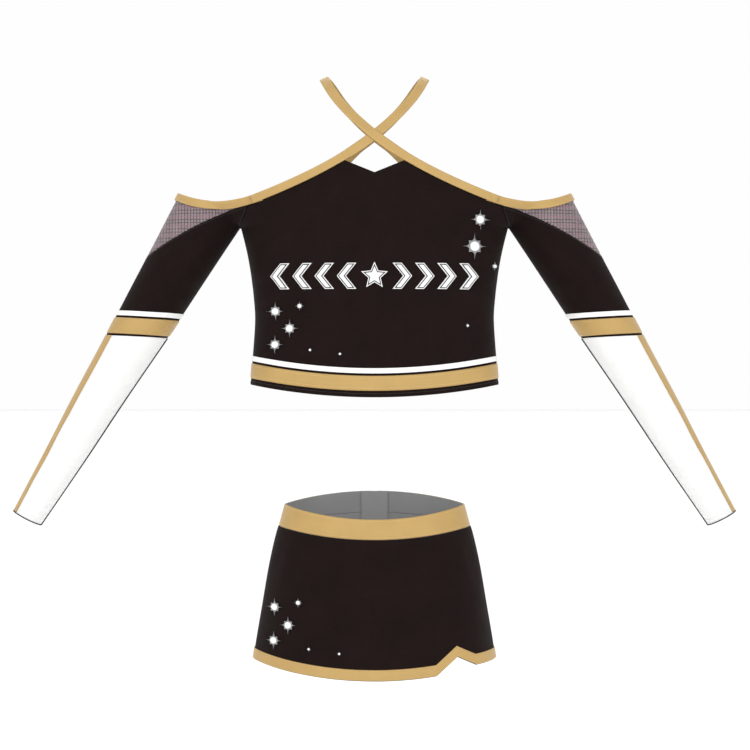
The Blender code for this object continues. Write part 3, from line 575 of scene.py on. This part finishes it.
BLACK_RGB = (0.0080, 0.0034, 0.0029)
GOLD_RGB = (0.468, 0.300, 0.097)
MAT = {
    "black": knit("black_jersey", BLACK_RGB, 0.78, 0.015, contrast=0.3, lint=0.12, gloss=0.10),
    "white": knit("white_jersey", (0.815, 0.815, 0.81), 0.68, 0.15, contrast=0.03),
    "gold": ribbon("gold_satin", GOLD_RGB),
    "gold_down": ribbon("gold_satin_lengthwise", GOLD_RGB, along_v=True),
    "white_braid": ribbon("white_satin", (0.87, 0.87, 0.865), 0.5, 0.0, contrast=0.03),
    "edge": ribbon("black_satin", BLACK_RGB, 0.6, 0.0, contrast=0.15),
    "net": netting("mauve_net"),
    "lining": knit("grey_lining", (0.255, 0.255, 0.255), 0.8, 0.1, contrast=0.08),
    "twill": knit("white_twill", (0.88, 0.88, 0.88), 0.62, 0.1, 0.0008, 0.03),
    "inlay": knit("dark_twill", (0.03, 0.028, 0.028), 0.7, 0.1, 0.0008, 0.1),
    "foil": foil("silver_foil"),
    "nickel": metal("zip_nickel", (0.62, 0.62, 0.63), 0.36),
    "floor": plain_floor("studio_white"),
}
for thread_name, shade in (("gold_thread", (0.70, 0.48, 0.20)), ("white_thread", (0.80, 0.80, 0.79)),
                           ("black_thread", (0.030, 0.024, 0.022))):
    MAT[thread_name] = thread(thread_name, shade)


# ---- placing on the frame ----


def settle(piece, body, node=None, cut=None, area=None, blend=None):
    """Hide the solid a piece stands for and hang the piece on the body it moves with; a piece given a blend
    is baked in place instead. The flat cut size is not used.
    """
    if node:
        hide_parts(node)
    if blend:
        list(blend)
        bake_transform(piece)
    else:
        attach(piece, body)
    return piece


def sew(name, lines, colour, body, blend=None):
    settle(stitches(name, lines, f"{colour}_thread"), body, blend=blend)


def shoulder(side, word):
    return ("top", f"{word}_upper", (side * 0.188, 0.0, 0.0), (side * 0.2543, 0.0, -0.0224))


def elbow(side, word):
    start = (side * ELBOW_PIVOT[0], 0.0, ELBOW_PIVOT[2])
    end = (start[0] + side * 0.0366 * 0.075, 0.0, start[2] - 0.999 * 0.075)
    return (f"{word}_upper", f"{word}_forearm", start, end)


# ---- bodice ----


def half_columns(count, *extra):
    return np.array(sorted({*extra, *(math.sin(0.5 * math.pi * k / count) for k in range(count + 1))}))


def panel_grid(columns, back, edge=None):
    top = bodice_top(np.abs(columns))
    rows = mix(top[None], WHITE_BRAID_Z[0], share_column(0.0, 1.0, 96) ** 1.25)
    low = share_column(WHITE_BRAID_Z[0], HEM_Z, 30)[1:] * np.ones_like(columns)
    return torso_surface(columns, np.concatenate([rows, low]), back, edge)


def torso_band(span, rows=13):
    half = half_columns(110)
    front = np.concatenate([-half[:0:-1], half])
    back = EDGE_SHARE + (1.0 - EDGE_SHARE) * half[:-1]
    q = share_column(*span, rows)
    left, right = (torso_surface(side * back, q, True, side * PANEL_EDGE) for side, _ in SIDES)
    return np.concatenate([right, torso_surface(front, q, False), left[:, ::-1]], 1)


def build_bodice():
    notch = 0.048 / float(torso_half(0.0915))
    half = half_columns(104, notch)
    front = Cloth(panel_grid(np.concatenate([-half[:0:-1], half]), False))
    front.add("bodice_front_cloth", -FABRIC, 0.0, "black", "top", "front_bodice",
              cut=(0.46, 0.34), area=0.125)
    seams = []
    for side, word in SIDES:
        columns = side * (EDGE_SHARE + (1.0 - EDGE_SHARE) * half)
        panel = Cloth(panel_grid(columns, True, side * PANEL_EDGE))
        panel.add(f"bodice_back_cloth_{word}", -FABRIC, 0.0, "black", "top",
                  f"back_bodice_{word}", cut=(0.23, 0.34), area=0.060)
        seams += panel.lines(0.00018, 0.028, axis=1)
    white, gold = Cloth(torso_band(WHITE_BRAID_Z)), Cloth(torso_band(GOLD_BRAID_Z))
    hem = Cloth(torso_band((HEM_Z + 0.0052, HEM_Z + 0.0004), 7))
    for kind, braid in (("white_braid", white), ("gold", gold)):
        colour = kind.split("_")[0]
        braid.add(f"bodice_{colour}_braid", GAP, BRAID_TOP, kind, "top", f"{colour}_braid",
                  BRAID_EDGE)
        rows = (0.5,) if colour == "white" else (0.13, 0.87)
        sew(f"bodice_{colour}_stitching", braid.lines(BRAID_TOP + THREAD_LIFT, *rows), colour, "top")
    hem.add("bodice_hem_fold", 0.0, 0.0005, "black", "top", edge=BRAID_EDGE)
    sew("bodice_seam_stitching", seams + hem.lines(0.00055, 0.0), "black", "top")


def strap_grid(side, across=13, count=150):
    w = np.linspace(-0.5, 0.5, across)[None, :]
    halves = []
    for back in (False, True):
        t = np.sin(0.5 * np.pi * share_column(0.0, 1.0, count))
        x, z = neck_point(t)
        x2, z2 = neck_point(np.minimum(t + 0.001, 1.0))
        x1, z1 = neck_point(np.maximum(t - 0.001, 0.0))
        run = np.hypot(x2 - x1, z2 - z1)
        free = smooth((z - 0.086) / 0.026)
        width = mix(STRAP_WIDTH_LOW, STRAP_WIDTH_HIGH, free)
        fold = smooth((z - 0.150) / 0.035)
        own = depth_at(z, back)
        rise = BACK_STRAP_RISE * free * smooth(own / 0.05) if back else 0.0
        over = (STRAP + 2.0 * GAP) * smooth((0.036 - np.abs(x)) / 0.020) if side > 0 else 0.0
        px = x - (z2 - z1) / run * w * width
        pz = z + (x2 - x1) / run * w * width
        depth = mix(cover_depth(px, pz, back), own, fold) + over
        halves.append(np.stack([side * px, depth if back else -depth, pz + rise], -1))
    return np.concatenate([halves[0], halves[1][-2::-1]])


def build_straps():
    lines = []
    for side, word in SIDES:
        grid = np.swapaxes(strap_grid(side), 0, 1)
        core = np.stack([grid[..., 0] * 0.8, 0.0 * grid[..., 0],
                         np.minimum(grid[..., 2], 0.15)], -1)
        strap = Cloth(grid, core, creased=False)
        strap.add(f"neck_strap_cloth_{word}", STRAP_LIFT, STRAP_TOP_LIFT, "gold", "top",
                  f"neck_strap_{word}", STRAP_EDGE, cut=(0.0135, 0.76))
        lines += strap.lines(STRAP_TOP_LIFT + 0.00003, 0.15, 0.85)
    sew("neck_strap_stitching", lines, "gold", "top")


def on_bodice(x, z):
    return np.stack([x, -cover_depth(x, z, False), z], -1)


def on_skirt(x, z):
    q = z + 0.01
    for _ in range(8):
        s = np.clip(np.abs(x) / skirt_half(q), 0.0, 1.0)
        q = z + skirt_dip(q) * (1.0 - s * s)
    depth = skirt_depth(z) * section(s, SKIRT_POWER)
    return np.stack([x, -depth, z], -1)


def plate_grid(name, x, z, place, low, high, kind, centre=None, wrap=False):
    """A patch over a grid of face coordinates, laid on the body form."""
    plate = Cloth(place(x, z), wrap=wrap)
    if centre is not None:
        radius = np.hypot(x - centre[0], z - centre[1]) / centre[2]
        full = np.concatenate([radius, radius[:, :1]], 1)
        plate.uv = np.stack([full, 0.0 * full], -1)
    return plate.layer(name, low, high, kind)


def star_patch(name, centre, radii, place, low, high, kind, per_edge=6, rings=7, scale=None):
    """Rings of evenly spaced points inside a star whose corner radii alternate."""
    angle = 2.0 * np.pi * np.arange(len(radii)) / len(radii)
    corners = np.asarray(radii)[:, None] * np.stack([np.sin(angle), np.cos(angle)], -1)
    share = np.arange(per_edge)[None, :, None] / per_edge
    outline = mix(corners[:, None], np.roll(corners, -1, 0)[:, None], share).reshape(-1, 2)
    x, z = (c + share_column(0.02, 1.0, rings) * k for c, k in zip(centre, outline.T))
    middle = (*centre, scale) if scale else None
    return plate_grid(name, x, z, place, low, high, kind, middle, wrap=True)


def join(name, pieces):
    """Several meshes made into one object, keeping their materials."""
    with bpy.context.temp_override(active_object=pieces[0], selected_editable_objects=pieces,
                                   selected_objects=pieces, object=pieces[0]):
        bpy.ops.object.join()
    pieces[0].name = name
    pieces[0].data.name = name
    return pieces[0]


def build_applique():
    radii = np.array([STAR_RADIUS, 0.46 * STAR_RADIUS] * 5)
    tip = Vector((0.0, STAR_RADIUS))
    valley = 0.46 * STAR_RADIUS * Vector((math.sin(math.pi / 5), math.cos(math.pi / 5)))
    reach = abs(tip.x * valley.y - tip.y * valley.x) / (tip - valley).length
    base = APPLIQUE_LIFT
    layers = (("base", 0.0, 0.0, base + BRAID, "twill"),
              ("inlay", 0.0012, base, base + BRAID + 0.0003, "inlay"),
              ("top", 0.0025, base, base + BRAID + 0.0008, "twill"))
    half = 0.5 * BADGE_HEIGHT
    slant = math.hypot(1.0, CHEVRON_POINT / half)
    for label, inset, low, high, kind in layers:
        piece = star_patch(f"star_{label}", (0.0, BADGE_Z), (reach - inset) / reach * radii,
                           on_bodice, low, high, kind, 10, 12)
        settle(piece, "top", "chest_star" if label == "base" else None)
        v = share_column(inset - half, half - inset, 31)
        for side, word in SIDES:
            for number in range(1, 5):
                start = CHEVRON_START + (number - 1) * CHEVRON_PITCH
                left = start + (1.0 - np.abs(v) / half) * CHEVRON_POINT + inset * slant
                share = np.linspace(0.0, 1.0, 11)[None]
                x = side * (left + share * (CHEVRON_ARM - 2.0 * inset * slant))
                piece = plate_grid(f"chevron_{word}_{number}_{label}", x, BADGE_Z + v + 0.0 * x,
                                   on_bodice, low, high, kind)
                settle(piece, "top", f"chest_chevron_{word}_{number}" if label == "base" else None)


def build_sparks():
    for prefix, sparks, place, body in (("bodice", BODICE_SPARKS, on_bodice, "top"),
                                        ("skirt", SKIRT_SPARKS, on_skirt, "skirt")):
        for number, (x, z, ray, node) in enumerate(sparks):
            # Each star is a print with a painted glint: white core, grey halo and rays fading out towards
            # their tips.
            parts = (("rays", [ray, 0.11 * ray] * 4, 0.0003, 8, 12, ray),
                     ("halo", [0.62 * ray, 0.45 * ray] * 8, 0.0, 3, 6, ray),
                     ("core", [0.33 * ray] * 12, 0.0009, 2, 5, ray * 1.2))
            pieces = [star_patch(label, (x, z), radii, place, 0.0008, SPARK_LIFT + rise, "foil", *rest)
                      for label, radii, rise, *rest in parts]
            settle(join(f"{prefix}_sparkle_{number + 1}", pieces), body,
                   f"{prefix}_spark_{node}" if node else None)


# ---- sleeves ----
# Paths take f, from 0 at the outer fold to 1 at the underarm fold, and give the distance down
# the sleeve and the distance in from its outer edge.


def insert_seam(across):
    return INSERT_SEAM[0] + INSERT_SEAM[1] * across + INSERT_SEAM[2] * across ** 2, across


def on_sleeve_side(across):
    x, z = from_sleeve(*insert_seam(across))
    return armhole_side(x - ARMHOLE_GAP, z) > 0.0


INSERT_END = float(bisect(on_sleeve_side, np.array(0.05), np.array(0.12)))


def neck_path(f):
    across = to_sleeve(*ARMHOLE_TOP)[1] * (1.0 - np.cos(0.5 * np.pi * f))
    return NECK_START - NECK_CURVE * across * across, across


def insert_path(f):
    return insert_seam(INSERT_END * (1.0 - np.cos(0.5 * np.pi * f)))


def upper_top_path(f):
    along, across = insert_path(np.minimum(f / ARMHOLE_SHARE, 1.0))
    along = along + 2.0 * SEAM_GAP
    share = np.sin(0.5 * np.pi * np.clip((f - ARMHOLE_SHARE) / (1.0 - ARMHOLE_SHARE), 0.0, 1.0))
    armpit = to_sleeve(CHEST_HALF + ARMHOLE_GAP, 0.0)
    return mix(along, armpit[0], share), mix(across, armpit[1], share)


def ring_across(f, along):
    return 0.5 * (1.0 - np.cos(np.pi * f)) * sleeve_width(along)


def band_path(offset):
    def path(f):
        along = np.full_like(f, BAND_START)
        for _ in range(14):
            along = BAND_START + BAND_SLOPE * ring_across(f, along) + offset
        return along, ring_across(f, along)
    return path


def level_path(along):
    return lambda f: (np.full_like(f, along), ring_across(f, along))


def sleeve_cloth(along, across, side, back):
    width = sleeve_width(along)
    x, z = from_sleeve(along, across)
    share = np.where((across < 1e-6) | (across > width - 1e-6), 0.0, across / width)
    depth = np.where(z > -0.09, cover_depth(x, z, back), sleeve_depth(along, share))
    depth = np.where(share == 0.0, 0.0, depth)
    return np.stack([side * x, np.where(back, depth, -depth), z], -1)


def ring_turn(count, corner=ARMHOLE_SHARE):
    """Round the sleeve: front from the outer fold to the underarm, then the back."""
    first = int(count * corner)
    f = np.concatenate([np.linspace(0.0, corner, first, endpoint=False),
                        np.linspace(corner, 1.0, count - first + 1)])
    return np.concatenate([f, f[-2:0:-1]]), np.arange(2 * count) > count


def wrap_turn(limit, count):
    k = np.arange(-count, count + 1)
    return limit * np.abs(k) / count, k > 0


def sleeve_grid(turn, top, low, side, rows):
    f, back = turn
    share = share_column(0.0, 1.0, rows)
    start, end = top(f), low(f)
    along = mix(start[0][None], end[0][None], share)
    across = mix(start[1][None], end[1][None], share)
    return sleeve_cloth(along, across, side, np.broadcast_to(back, along.shape))


def sleeve_core(points, side):
    along, _ = to_sleeve(np.abs(points[..., 0]), points[..., 2])
    x, z = from_sleeve(along, 0.5 * sleeve_width(np.clip(along, 0.0, None)))
    return np.stack([side * x, 0.0 * x, z], -1)


def build_armhole(side, word):
    """Facing behind the seam that joins the sleeve to the bodice, inside the armhole."""
    t = np.concatenate([np.linspace(-0.05, 0.96, 40), np.linspace(0.96, -0.05, 40)])[None]
    back = (np.arange(80) >= 40)[None]
    low = (CHEST_HALF + 0.5 * ARMHOLE_GAP, 0.0)
    run = np.array(low) - np.array(ARMHOLE_TOP)
    run /= np.linalg.norm(run)
    w = share_column(-0.0042, 0.0050, 9)
    x = mix(ARMHOLE_TOP[0] + 0.5 * ARMHOLE_GAP, low[0], t) - w * run[1]
    z = mix(ARMHOLE_TOP[1], low[1], t) + w * run[0]
    depth = np.maximum(cover_depth(x, z, back), 0.0022)
    grid = np.stack([side * x, np.where(back, depth, -depth), z], -1)
    facing = Cloth(grid, np.array((side * 0.180, 0.0, 0.012)))
    facing.add(f"{word}_armhole_facing", -0.0021, LINING[1], "black", "top")


def build_sleeve(side, word):
    ring = ring_turn(60)
    bend, turn = elbow(side, word), shoulder(side, word)
    upper, fore = f"{word}_upper", f"{word}_forearm"
    lower_top, cuff = band_path(ELBOW_OFFSET + GAP), level_path(SLEEVE_LENGTH)
    trim_end = level_path(SLEEVE_LENGTH - CUFF_HEIGHT - GAP)

    def cloth(positions, top, low, rows, wrap=False):
        grid = sleeve_grid(positions, top, low, side, rows)
        return Cloth(grid, sleeve_core(grid, side), wrap=wrap)

    main = cloth(ring, upper_top_path, band_path(ELBOW_OFFSET), 100, True)
    main.add(f"{word}_upper_sleeve_cloth", -FABRIC, 0.0, "black", upper, f"{word}_upper_sleeve",
             cut=(0.30, 0.25), area=0.047, blend=turn)
    grid = sleeve_grid(wrap_turn(INSERT_REACH, 60), neck_path, insert_path, side, 60)
    net = Cloth(grid, sleeve_core(grid, side), uv=grid[..., [0, 2]])
    net.add(f"{word}_mesh_insert_net", -INSERT_THICK, 0.0, "net", upper, f"{word}_mesh_insert",
            cut=(0.22, 0.11), area=0.0118, blend=turn)
    sew(f"{word}_insert_stitching", net.lines(0.0002, 1.0) + main.lines(0.0002, 0.02), "black",
        upper, turn)

    f, back = wrap_turn(1.075, 70)
    along, across = neck_path(f)
    slope = -2.0 * NECK_CURVE * across
    step = share_column(-0.5, 0.5, 13) * STRAP_WIDTH_LOW / np.hypot(1.0, slope)
    grid = sleeve_cloth(along + step, across - step * slope, side, np.broadcast_to(back, step.shape))
    binding = Cloth(grid, sleeve_core(grid, side))
    tuck = 0.0019 * smooth((f - 0.955) / 0.035)[None]
    binding.add(f"{word}_shoulder_binding", STRAP_LIFT - 0.5 * tuck, STRAP_TOP_LIFT - tuck,
                "gold", upper, f"{word}_sleeve_binding", STRAP_EDGE, blend=turn)
    lines = binding.lines(STRAP_TOP_LIFT + 0.00003, 0.15, 0.85)
    sew(f"{word}_shoulder_stitching", [(p[8:-8], n[8:-8]) for p, n in lines], "gold", upper, turn)

    for colour, span, kind, rows in (("white", SLEEVE_WHITE, "white_braid", (0.5,)),
                                     ("gold", SLEEVE_GOLD, "gold", (0.12, 0.88))):
        band = cloth(ring, band_path(span[0]), band_path(span[1]), 13, True)
        band.add(f"{word}_arm_{colour}_braid", GAP, BRAID_TOP, kind, upper,
                 f"{word}_sleeve_{colour}_braid", BRAID_EDGE)
        sew(f"{word}_arm_{colour}_stitching", band.lines(BRAID_TOP + THREAD_LIFT, *rows), colour,
            upper)

    lower = cloth(ring, lower_top, cuff, 150, True)
    lower.add(f"{word}_lower_sleeve_cloth", -FABRIC, 0.0, "white", fore, f"{word}_lower_sleeve",
              cut=(0.28, 0.31), area=0.059, blend=bend)
    sew(f"{word}_cuff_stitching", lower.lines(0.0002, 0.975), "white", fore, bend)
    stripe = cloth(wrap_turn(STRIPE_SHARE, 14), lower_top, trim_end, 150)
    top = GAP + STRIPE_THICK
    stripe.add(f"{word}_outer_stripe", GAP, top, "gold_down", fore, f"{word}_side_stripe",
               blend=bend)
    sew(f"{word}_stripe_stitching", stripe.lines(top + 0.00003, 0.08, 0.92, axis=1), "gold", fore,
        bend)
    k = np.linspace(-1.0, 1.0, 9)
    under = cloth((1.0 - PIPING_SHARE * np.abs(k), k > 0), lower_top, trim_end, 150)
    edge = cloth(ring, level_path(SLEEVE_LENGTH - CUFF_HEIGHT), cuff, 7, True)
    for trim, name, node, fall in ((under, "underarm_edge", "underarm_piping", 1.0),
                                   (edge, "cuff_edge", "cuff_binding", BRAID_EDGE)):
        trim.add(f"{word}_{name}", GAP, GAP + PIPING_THICK, "edge", fore, f"{word}_{node}", fall,
                 blend=bend)


# ---- skirt ----


def by_level(values, q):
    return np.interp(-np.asarray(q, float), [-WAIST_Z, -BAND_Z, -SKIRT_HEM_Z], values)


def skirt_half(q):
    q = np.asarray(q, float)
    high = mix(WAIST_HALF, BAND_HALF, (WAIST_Z - q) / (WAIST_Z - BAND_Z))
    share = np.clip((BAND_Z - q) / (BAND_Z - SKIRT_HEM_Z), 0.0, None)
    return np.where(q > BAND_Z, high, mix(BAND_HALF, SKIRT_HEM_HALF, share ** 0.8))


def skirt_dip(q):
    return by_level(DIPS, q)


def skirt_depth(z):
    return WAIST_DEPTH + SKIRT_DEPTH_SLOPE * (WAIST_Z - z)


def slit_up(angle):
    s = np.abs(ease(np.sin(angle), SKIRT_POWER))
    rise = np.interp(s, [k[0] for k in SLIT], [k[1] for k in SLIT], left=0.0)
    return np.where((np.cos(angle) < 0.0) | (np.sin(angle) < 0.0), 0.0, rise)


def skirt_grid(q_top, q_low, rows, slit=(0.0, 0.0)):
    angles = [a for a in np.radians(np.linspace(-180.0, 180.0, 289))
              if math.cos(a) > 0.0 or abs(math.sin(a)) > 0.045 or abs(a) > 3.14159]
    angles += [math.asin(k[0] ** (SKIRT_POWER / 2.0)) for k in SLIT[:3]]
    angle = np.array(sorted(angles))[None, :]
    share = share_column(0.0, 1.0, rows)
    q = mix(q_top, q_low, share)
    s, c = ease(np.sin(angle), SKIRT_POWER), ease(np.cos(angle), SKIRT_POWER)
    tilt = np.where(c > 0.0, -skirt_dip(q), by_level(RISES, q))
    z = q + tilt * (1.0 - s * s) + slit_up(angle) * mix(slit[0], slit[1], share)
    x = skirt_half(q) * s
    grid = np.stack([x, -skirt_depth(z) * c, z], -1)
    for column, side in ((0, -1.0), (-1, 1.0)):
        level = grid[:, column, 2]
        grid[:, column, 0] = side * mix(PANEL_EDGE, CLOSED_EDGE,
                                        smooth((SKIRT_ZIP_Z[1] - 0.026 - level) / 0.012))
    return grid


def build_skirt():
    band = Cloth(skirt_grid(WAIST_Z, BAND_Z, 22))
    band.add("waistband_cloth", -FABRIC, 0.0, "gold", "skirt", "waistband", 0.6, cut=(0.034, 0.66))
    band.add("waist_lining", *LINING, "lining", "skirt")
    body = Cloth(skirt_grid(BAND_Z - GAP, SKIRT_HEM_Z, 110, (0.0, 1.0)))
    body.add("skirt_cloth", -FABRIC, 0.0, "black", "skirt", "skirt_body", cut=(0.86, 0.20),
             area=0.155)
    body.add("skirt_lining", *LINING, "lining", "skirt")
    trim = Cloth(skirt_grid(SKIRT_HEM_Z + SKIRT_TRIM, SKIRT_HEM_Z + 0.0004, 11, (1.0, 1.0)))
    trim.add("hem_trim_braid", GAP, BRAID_TOP, "gold", "skirt", "hem_trim", BRAID_EDGE)
    lines = trim.lines(BRAID_TOP + THREAD_LIFT, 0.14, 0.86) + band.lines(THREAD_LIFT, 0.10, 0.90)
    sew("skirt_gold_stitching", lines, "gold", "skirt")


# ---- zips ----


ACROSS = np.array((1.0, 0.0, 0.0))
CUBE = np.array([(x, y, z) for x in (0, 1) for y in (0, 1) for z in (0, 1)], float)
CUBE_FACES = np.array([(0, 1, 3, 2), (4, 6, 7, 5), (0, 4, 5, 1), (2, 3, 7, 6), (0, 2, 6, 4),
                       (1, 5, 7, 3)])


def frame_at(origin, up):
    """Places points given as across, out of the cloth and up along a line of the back."""
    out = np.cross(ACROSS, up)
    out = out if out[1] > 0.0 else -out

    def place(points):
        points = np.asarray(points, float)
        return origin + points[..., :1] * ACROSS + points[..., 1:2] * out + points[..., 2:3] * up
    return place


def blocks(name, lows, highs, place, kind):
    """A run of small blocks between pairs of corners of a local frame."""
    lows, highs = np.asarray(lows, float), np.asarray(highs, float)
    verts = place(mix(lows[:, None], highs[:, None], CUBE[None])).reshape(-1, 3)
    quads = (CUBE_FACES[None] + 8 * np.arange(len(lows))[:, None, None]).reshape(-1, 4)
    return make_object(name, verts, quads, kind, soft=False)


def bevelled(piece, width):
    work = bmesh.new()
    work.from_mesh(piece.data)
    bmesh.ops.remove_doubles(work, verts=work.verts, dist=1e-6)
    bmesh.ops.recalc_face_normals(work, faces=work.faces)
    sharp = [e for e in work.edges if len(e.link_faces) == 2 and e.calc_face_angle() > 0.5]
    bmesh.ops.bevel(work, geom=sharp, offset=width, segments=2, profile=0.6, affect="EDGES",
                    clamp_overlap=True)
    work.to_mesh(piece.data)
    work.free()
    return piece


def eyed_plate(name, outline, hole, y0, y1, place):
    """A bevelled metal plate with an eye, from outer and inner outlines of equal count."""
    n = len(outline)
    flat = [np.array([(x, y, z) for x, z in ring]) for ring in (outline, hole) for y in (y0, y1)]
    k, m = np.arange(n), (np.arange(n) + 1) % n
    o0, o1, h0, h1 = (i * n for i in range(4))
    quads = [np.stack(q, -1) for q in (
        (o0 + k, o0 + m, h0 + m, h0 + k), (o1 + m, o1 + k, h1 + k, h1 + m),
        (o0 + m, o0 + k, o1 + k, o1 + m), (h0 + k, h0 + m, h1 + m, h1 + k))]
    verts = place(np.concatenate(flat))
    return bevelled(make_object(name, verts, np.concatenate(quads), "nickel", soft=False), 0.0002)


def oval(half_x, top, low, power, count=28):
    a = 2.0 * np.pi * np.arange(count) / count
    c, s = ease(np.cos(a), power), ease(np.sin(a), power)
    return list(zip(half_x * s, 0.5 * (top + low) + 0.5 * (top - low) * c))


def build_zip(body, span, depth):
    top, low = (np.array((0.0, float(depth(z)), z)) for z in span)
    length = np.linalg.norm(top - low)
    up = (top - low) / length
    place = frame_at(top, up)
    middle, half = -0.5 * FABRIC, 0.5 * TEETH_THICK
    z = -(np.arange(int(length / TOOTH_PITCH)) + 0.5) * TOOTH_PITCH
    ones = np.ones_like(z)
    tape = -FABRIC - TAPE_GAP
    for side, word in SIDES:
        level = z + 0.25 * TOOTH_PITCH * side
        a = np.stack([side * TEETH_SLOT * ones, (middle - half) * ones, level - 0.0006], -1)
        b = np.stack([side * TEETH_OUTER * ones, (middle + half) * ones, level + 0.0006], -1)
        teeth = blocks(f"{body}_zip_tooth_row_{word}", np.minimum(a, b), np.maximum(a, b), place,
                       "nickel")
        settle(bevelled(teeth, 0.00022), body, f"{body}_zip_teeth_{word}")
        for name, x0, x1, y0, y1, node in (
                ("cord", TEETH_OUTER - 0.0012, TEETH_OUTER, middle - 0.45 * half,
                 middle + 0.45 * half, None),
                ("tape_cloth", TEETH_OUTER + 0.0002, TAPE_OUTER, tape - TAPE_THICK, tape,
                 f"{body}_zip_tape_{word}")):
            near, far = sorted((side * x0, side * x1))
            strip = blocks(f"{body}_zip_{name}_{word}", [(near, y0, -length)], [(far, y1, 0.0)],
                           place, "edge")
            settle(strip, body, node)
    kind, rise, drop = ("lining", 0.0036, SEAM_FACING) if body == "skirt" else ("black", 0.0, 0.004)
    settle(blocks(f"{body}_zip_guard", [(-0.019, -0.0046, -length - drop)],
                  [(0.019, -0.0040, rise)], place, kind), body)
    if body == "skirt":
        settle(blocks("skirt_seam_facing", [(-TAPE_OUTER, tape - TAPE_THICK, -length - drop)],
                      [(TAPE_OUTER, tape, -length - GAP)], place, "edge"), body)
    inner, outer = middle - half - GAP, middle + half + GAP
    ring = [(x * SLIDER_HALF, z * SLIDER_LENGTH) for x, z in SLIDER_SHAPE]
    tiny = [(0.02 * x, -0.49 * SLIDER_LENGTH + 0.02 * z) for x, z in ring]
    plates = [eyed_plate("plate", ring, tiny, y, y + PLATE, place) for y in (outer, inner - PLATE)]
    post = blocks("post", [(-TEETH_SLOT + GAP, inner, -0.6 * SLIDER_LENGTH)],
                  [(TEETH_SLOT - GAP, outer, -0.12 * SLIDER_LENGTH)], place, "nickel")
    bridge = blocks("bridge", [(-0.0007, outer + PLATE, k * SLIDER_LENGTH) for k in (-0.80, -0.18)],
                    [(0.0007, outer + 1.9 * PLATE, k * SLIDER_LENGTH) for k in (-0.72, -0.10)],
                    place, "nickel")
    slider = join(f"{body}_zip_slider_metal", [*plates, post, bridge])
    settle(slider, f"{body}_zip_slider", f"{body}_zip_slider")
    root = place([(0.0, outer + PLATE + GAP, -0.25 * SLIDER_LENGTH)])[0]
    hang = np.array((0.0, 0.0, 1.0)) if up[1] > 0.0 else up
    tab = eyed_plate(f"{body}_zip_pull_tab", oval(TAB_HALF, 0.0, -TAB_LENGTH, 4.5),
                     oval(0.0014, -0.0014, -0.0054, 3.0), 0.0, 0.0009, frame_at(root, hang))
    settle(tab, f"{body}_zip_pull", f"{body}_zip_pull")


# ---- studio ----


def area_light(name, place, target, size, power):
    data = bpy.data.lights.new(name, "AREA")
    data.size, data.energy = size, power
    light = bpy.data.objects.new(name, data)
    bpy.context.scene.collection.objects.link(light)
    light.location = place
    light.rotation_euler = (Vector(target) - Vector(place)).to_track_quat("-Z", "Y").to_euler()


def build_studio():
    scene = bpy.context.scene
    side = np.linspace(-60.0, 60.0, 9)
    grid = np.stack(np.broadcast_arrays(side[None], side[:, None], FLOOR_Z), -1)
    floor = Cloth(grid, grid - (0.0, 0.0, 1.0), creased=False)
    floor.layer("studio_floor", -0.01, 0.0, "floor")
    area_light("key", (-1.6, -3.2, 2.0), (0.0, 0.0, -0.2), 2.4, 33.0)
    area_light("fill", (2.0, -3.0, 0.7), (0.0, 0.0, -0.25), 2.6, 15.5)
    area_light("low", (0.0, -3.2, -0.45), (0.0, 0.0, -0.3), 1.6, 5.0)
    area_light("back", (0.0, 3.0, 2.4), (0.0, 0.0, -0.2), 2.4, 28.0)
    scene.world = scene.world or bpy.data.worlds.new("studio")
    scene.world.use_nodes = True
    background = scene.world.node_tree.nodes.get("Background")
    background.inputs["Color"].default_value = (1.0, 1.0, 1.0, 1.0)
    background.inputs["Strength"].default_value = 0.99
    data = bpy.data.cameras.new("front_camera")
    data.sensor_width, data.lens = 36.0, 135.2
    scene.camera = bpy.data.objects.new("front_camera", data)
    scene.collection.objects.link(scene.camera)
    scene.camera.location = (0.0007, -4.0, -0.2087)
    scene.camera.rotation_euler = (math.radians(90.0), 0.0, 0.0)
    scene.view_settings.view_transform = "Standard"


build_bodice()
build_straps()
build_applique()
build_sparks()
for wearer_side in SIDES:
    build_armhole(*wearer_side)
    build_sleeve(*wearer_side)
build_skirt()
build_zip("top", TOP_ZIP_Z, back_depth)
build_zip("skirt", SKIRT_ZIP_Z, skirt_depth)
build_studio()
